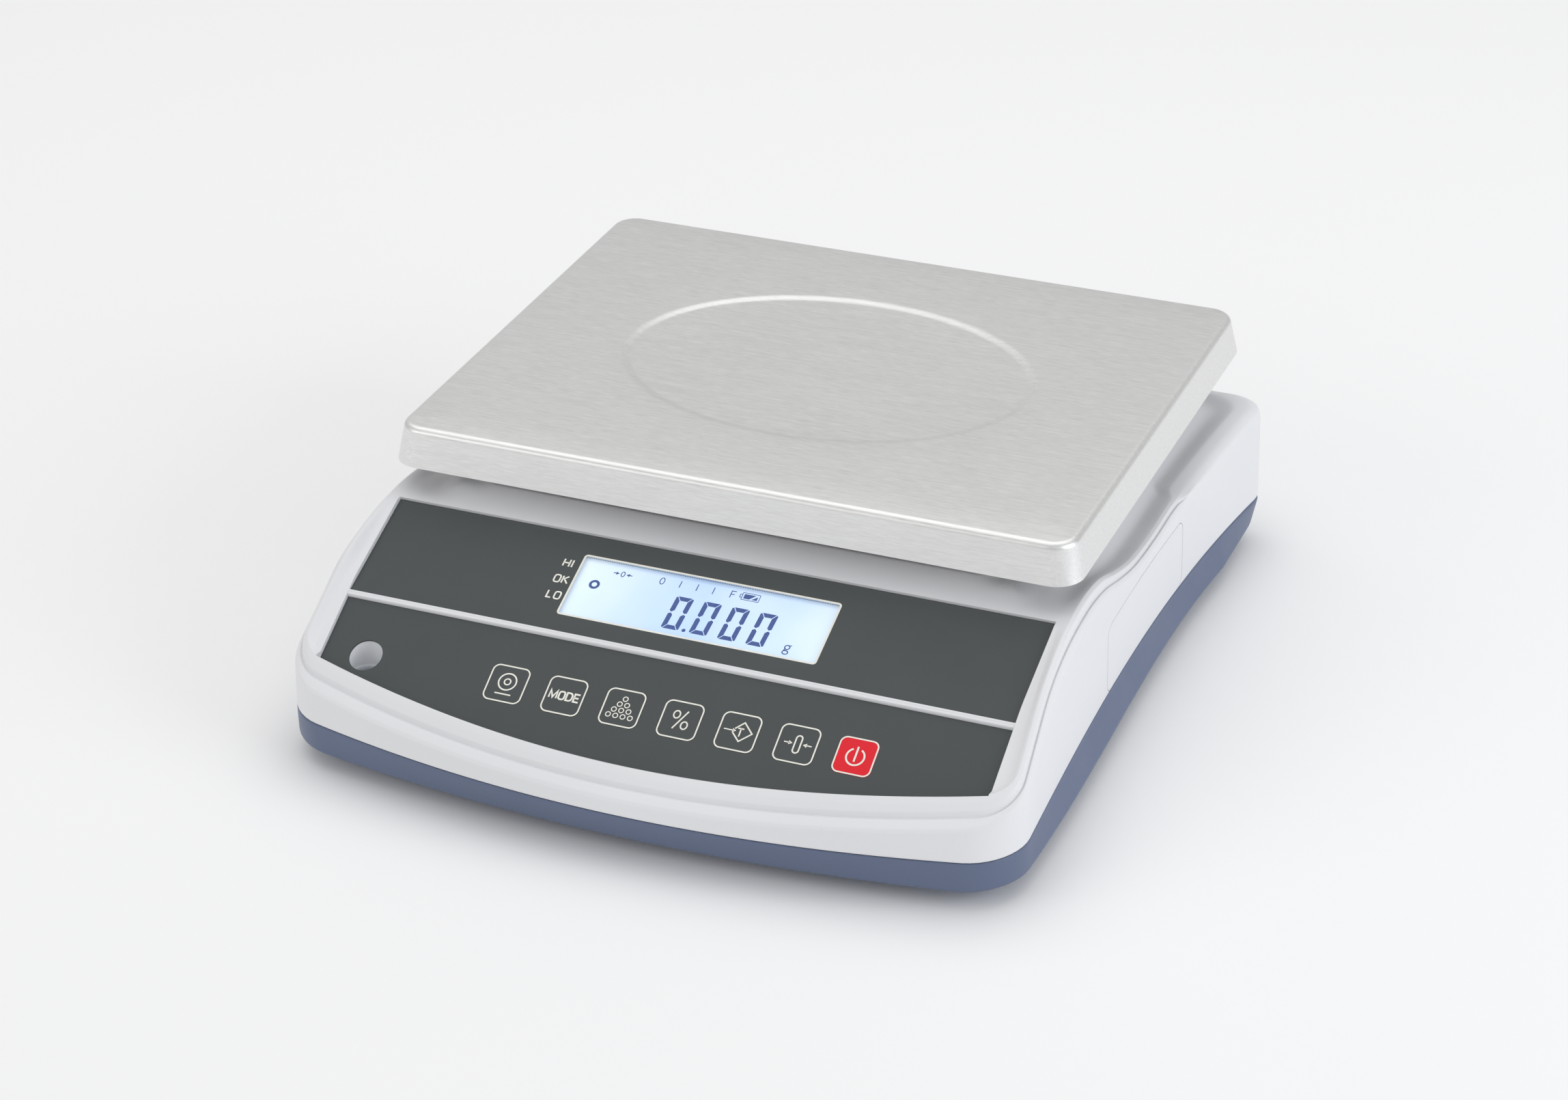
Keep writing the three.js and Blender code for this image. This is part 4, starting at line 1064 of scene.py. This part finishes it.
def pan_skin(inset, top):
    """One face of the sheet, from the skirt's foot over the fold and the oval step inwards."""
    fold = 3.2 - inset
    rings = [ring_at(pan_outline(inset - PAN_FLARE), PAN_FOOT + 0.3)]
    for t in np.linspace(0, math.pi / 2, 9):
        outline_at = pan_outline(inset + fold * (1 - math.cos(t)))
        rings.append(ring_at(outline_at, top - fold * (1 - math.sin(t))))
    lowered = top - OVAL["step"]
    flat = [mix(rings[-1], ring_at(oval_outline(3), top), s) for s in (0.35, 0.7)]
    step = []
    for s in np.linspace(0, 1, 11):
        step.append(ring_at(oval_outline(2.6 - 5.2 * s), mix(top, lowered, smoothstep(s, 0, 1))))
    inner = [mix(step[-1], np.array([[PAN_X, PAN_Y, lowered]]), s) for s in (0.5, 0.96)]
    return rings + flat + step + inner


def weighing_pan():
    """The pan's sheet, 1 mm thick, with its brushing's direction in a UV layer."""
    under, over = pan_skin(1.0, PAN_TOP - 1.0), pan_skin(0.0, PAN_TOP)
    hem = [
        ring_at(pan_outline(0.8 - PAN_FLARE), PAN_FOOT + 0.05),
        ring_at(pan_outline(0.5 - PAN_FLARE), PAN_FOOT),
    ]
    made = loft("pan_sheet", [*under[::-1], *hem, *over])
    grain = made.data.uv_layers.new(name="grain")
    co = np.array([made.data.vertices[loop.vertex_index].co for loop in made.data.loops])
    uv = np.c_[co[:, 0], co[:, 1] + co[:, 2]]
    grain.data.foreach_set("uv", uv.ravel())
    return made


finish_piece(smooth(weighing_pan(), 50), STEEL, "pan", "stainless", "weighing_pan")


# ---- CAD nodes that show as they are ----------------------------------------------------

LOOKS = {
    "aluminium": ALUMINIUM, "zinc_steel": ZINC, "rubber": RUBBER, "circuit_board": BOARD,
    "battery_wrap": WRAP, "black_plastic": BLACK, "clear_window": CLEAR, "backlight": GREY,
}
replaced = {n for o in bpy.data.objects for n in o.get("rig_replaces", [])}
for part in frame["record"]["subparts"]:
    node = frame["nodes"][part["node"]]
    if part["node"] not in replaced:
        node.data.materials.clear()
        node.data.materials.append(LOOKS[part["material_slot"]])


# ---- Floor, light and camera -----------------------------------------------------------


def floor():
    reach = 6000
    corners = [(-reach, -reach, 0), (reach, -reach, 0), (reach, reach, 0), (-reach, reach, 0)]
    obj = as_object("floor", corners, [(0, 1, 2, 3)], closed=False)
    look = Look("pale floor", (0.98, 0.98, 0.98), 0.9)
    obj.data.materials.append(look.material)


def area_light(name, at, towards, size, power, color=(1, 1, 1)):
    light = bpy.data.lights.new(name, "AREA")
    light.shape, light.size, light.size_y = "RECTANGLE", *size
    light.energy, light.color = power, color
    obj = bpy.data.objects.new(name, light)
    bpy.context.scene.collection.objects.link(obj)
    obj.location = at
    obj.rotation_mode = "QUATERNION"
    obj.rotation_quaternion = (Vector(towards) - Vector(at)).to_track_quat("-Z", "Y")


floor()
area_light("overhead", (-0.3, 0.5, 1.9), (0, 0, 0.1), (2.6, 2.0), 12)
area_light("front_left", (-1.7, -1.9, 1.3), (0, 0, 0.05), (1.8, 1.4), 8)
area_light("right", (2.1, -0.2, 0.9), (0, 0, 0.05), (1.6, 1.3), 15, (0.88, 0.93, 1.0))

scene = bpy.context.scene
world = bpy.data.worlds.new("studio")
scene.world = world
world.use_nodes = True
world.node_tree.nodes["Background"].inputs["Color"].default_value = (1, 1, 1, 1)
world.node_tree.nodes["Background"].inputs["Strength"].default_value = 0.6
scene.view_settings.view_transform = "Standard"


def main_camera():
    """A long lens, above the front right, that looks past the pan's middle."""
    azimuth, elevation, roll = (math.radians(a) for a in (23.13, 29.55, -1.23))
    distance, aside, below = 1566.05, 18.5473, 79.4739
    flat = math.cos(elevation)
    back = Vector((math.sin(azimuth) * flat, -math.cos(azimuth) * flat, math.sin(elevation)))
    level_right = Vector((math.cos(azimuth), math.sin(azimuth), 0))
    level_up = back.cross(level_right)
    right = math.cos(roll) * level_right + math.sin(roll) * level_up
    up = -math.sin(roll) * level_right + math.cos(roll) * level_up
    pan = Vector((PAN_X, PAN_Y, PAN_TOP))
    at = (pan + back * distance - right * aside - up * below) * MM
    camera = bpy.data.cameras.new("camera")
    camera.sensor_width, camera.lens = 36.0, 83.2202
    obj = bpy.data.objects.new("camera", camera)
    scene.collection.objects.link(obj)
    turn = Matrix((right, up, back)).transposed()
    obj.matrix_world = Matrix.Translation(at) @ turn.to_4x4()
    scene.camera = obj


main_camera()
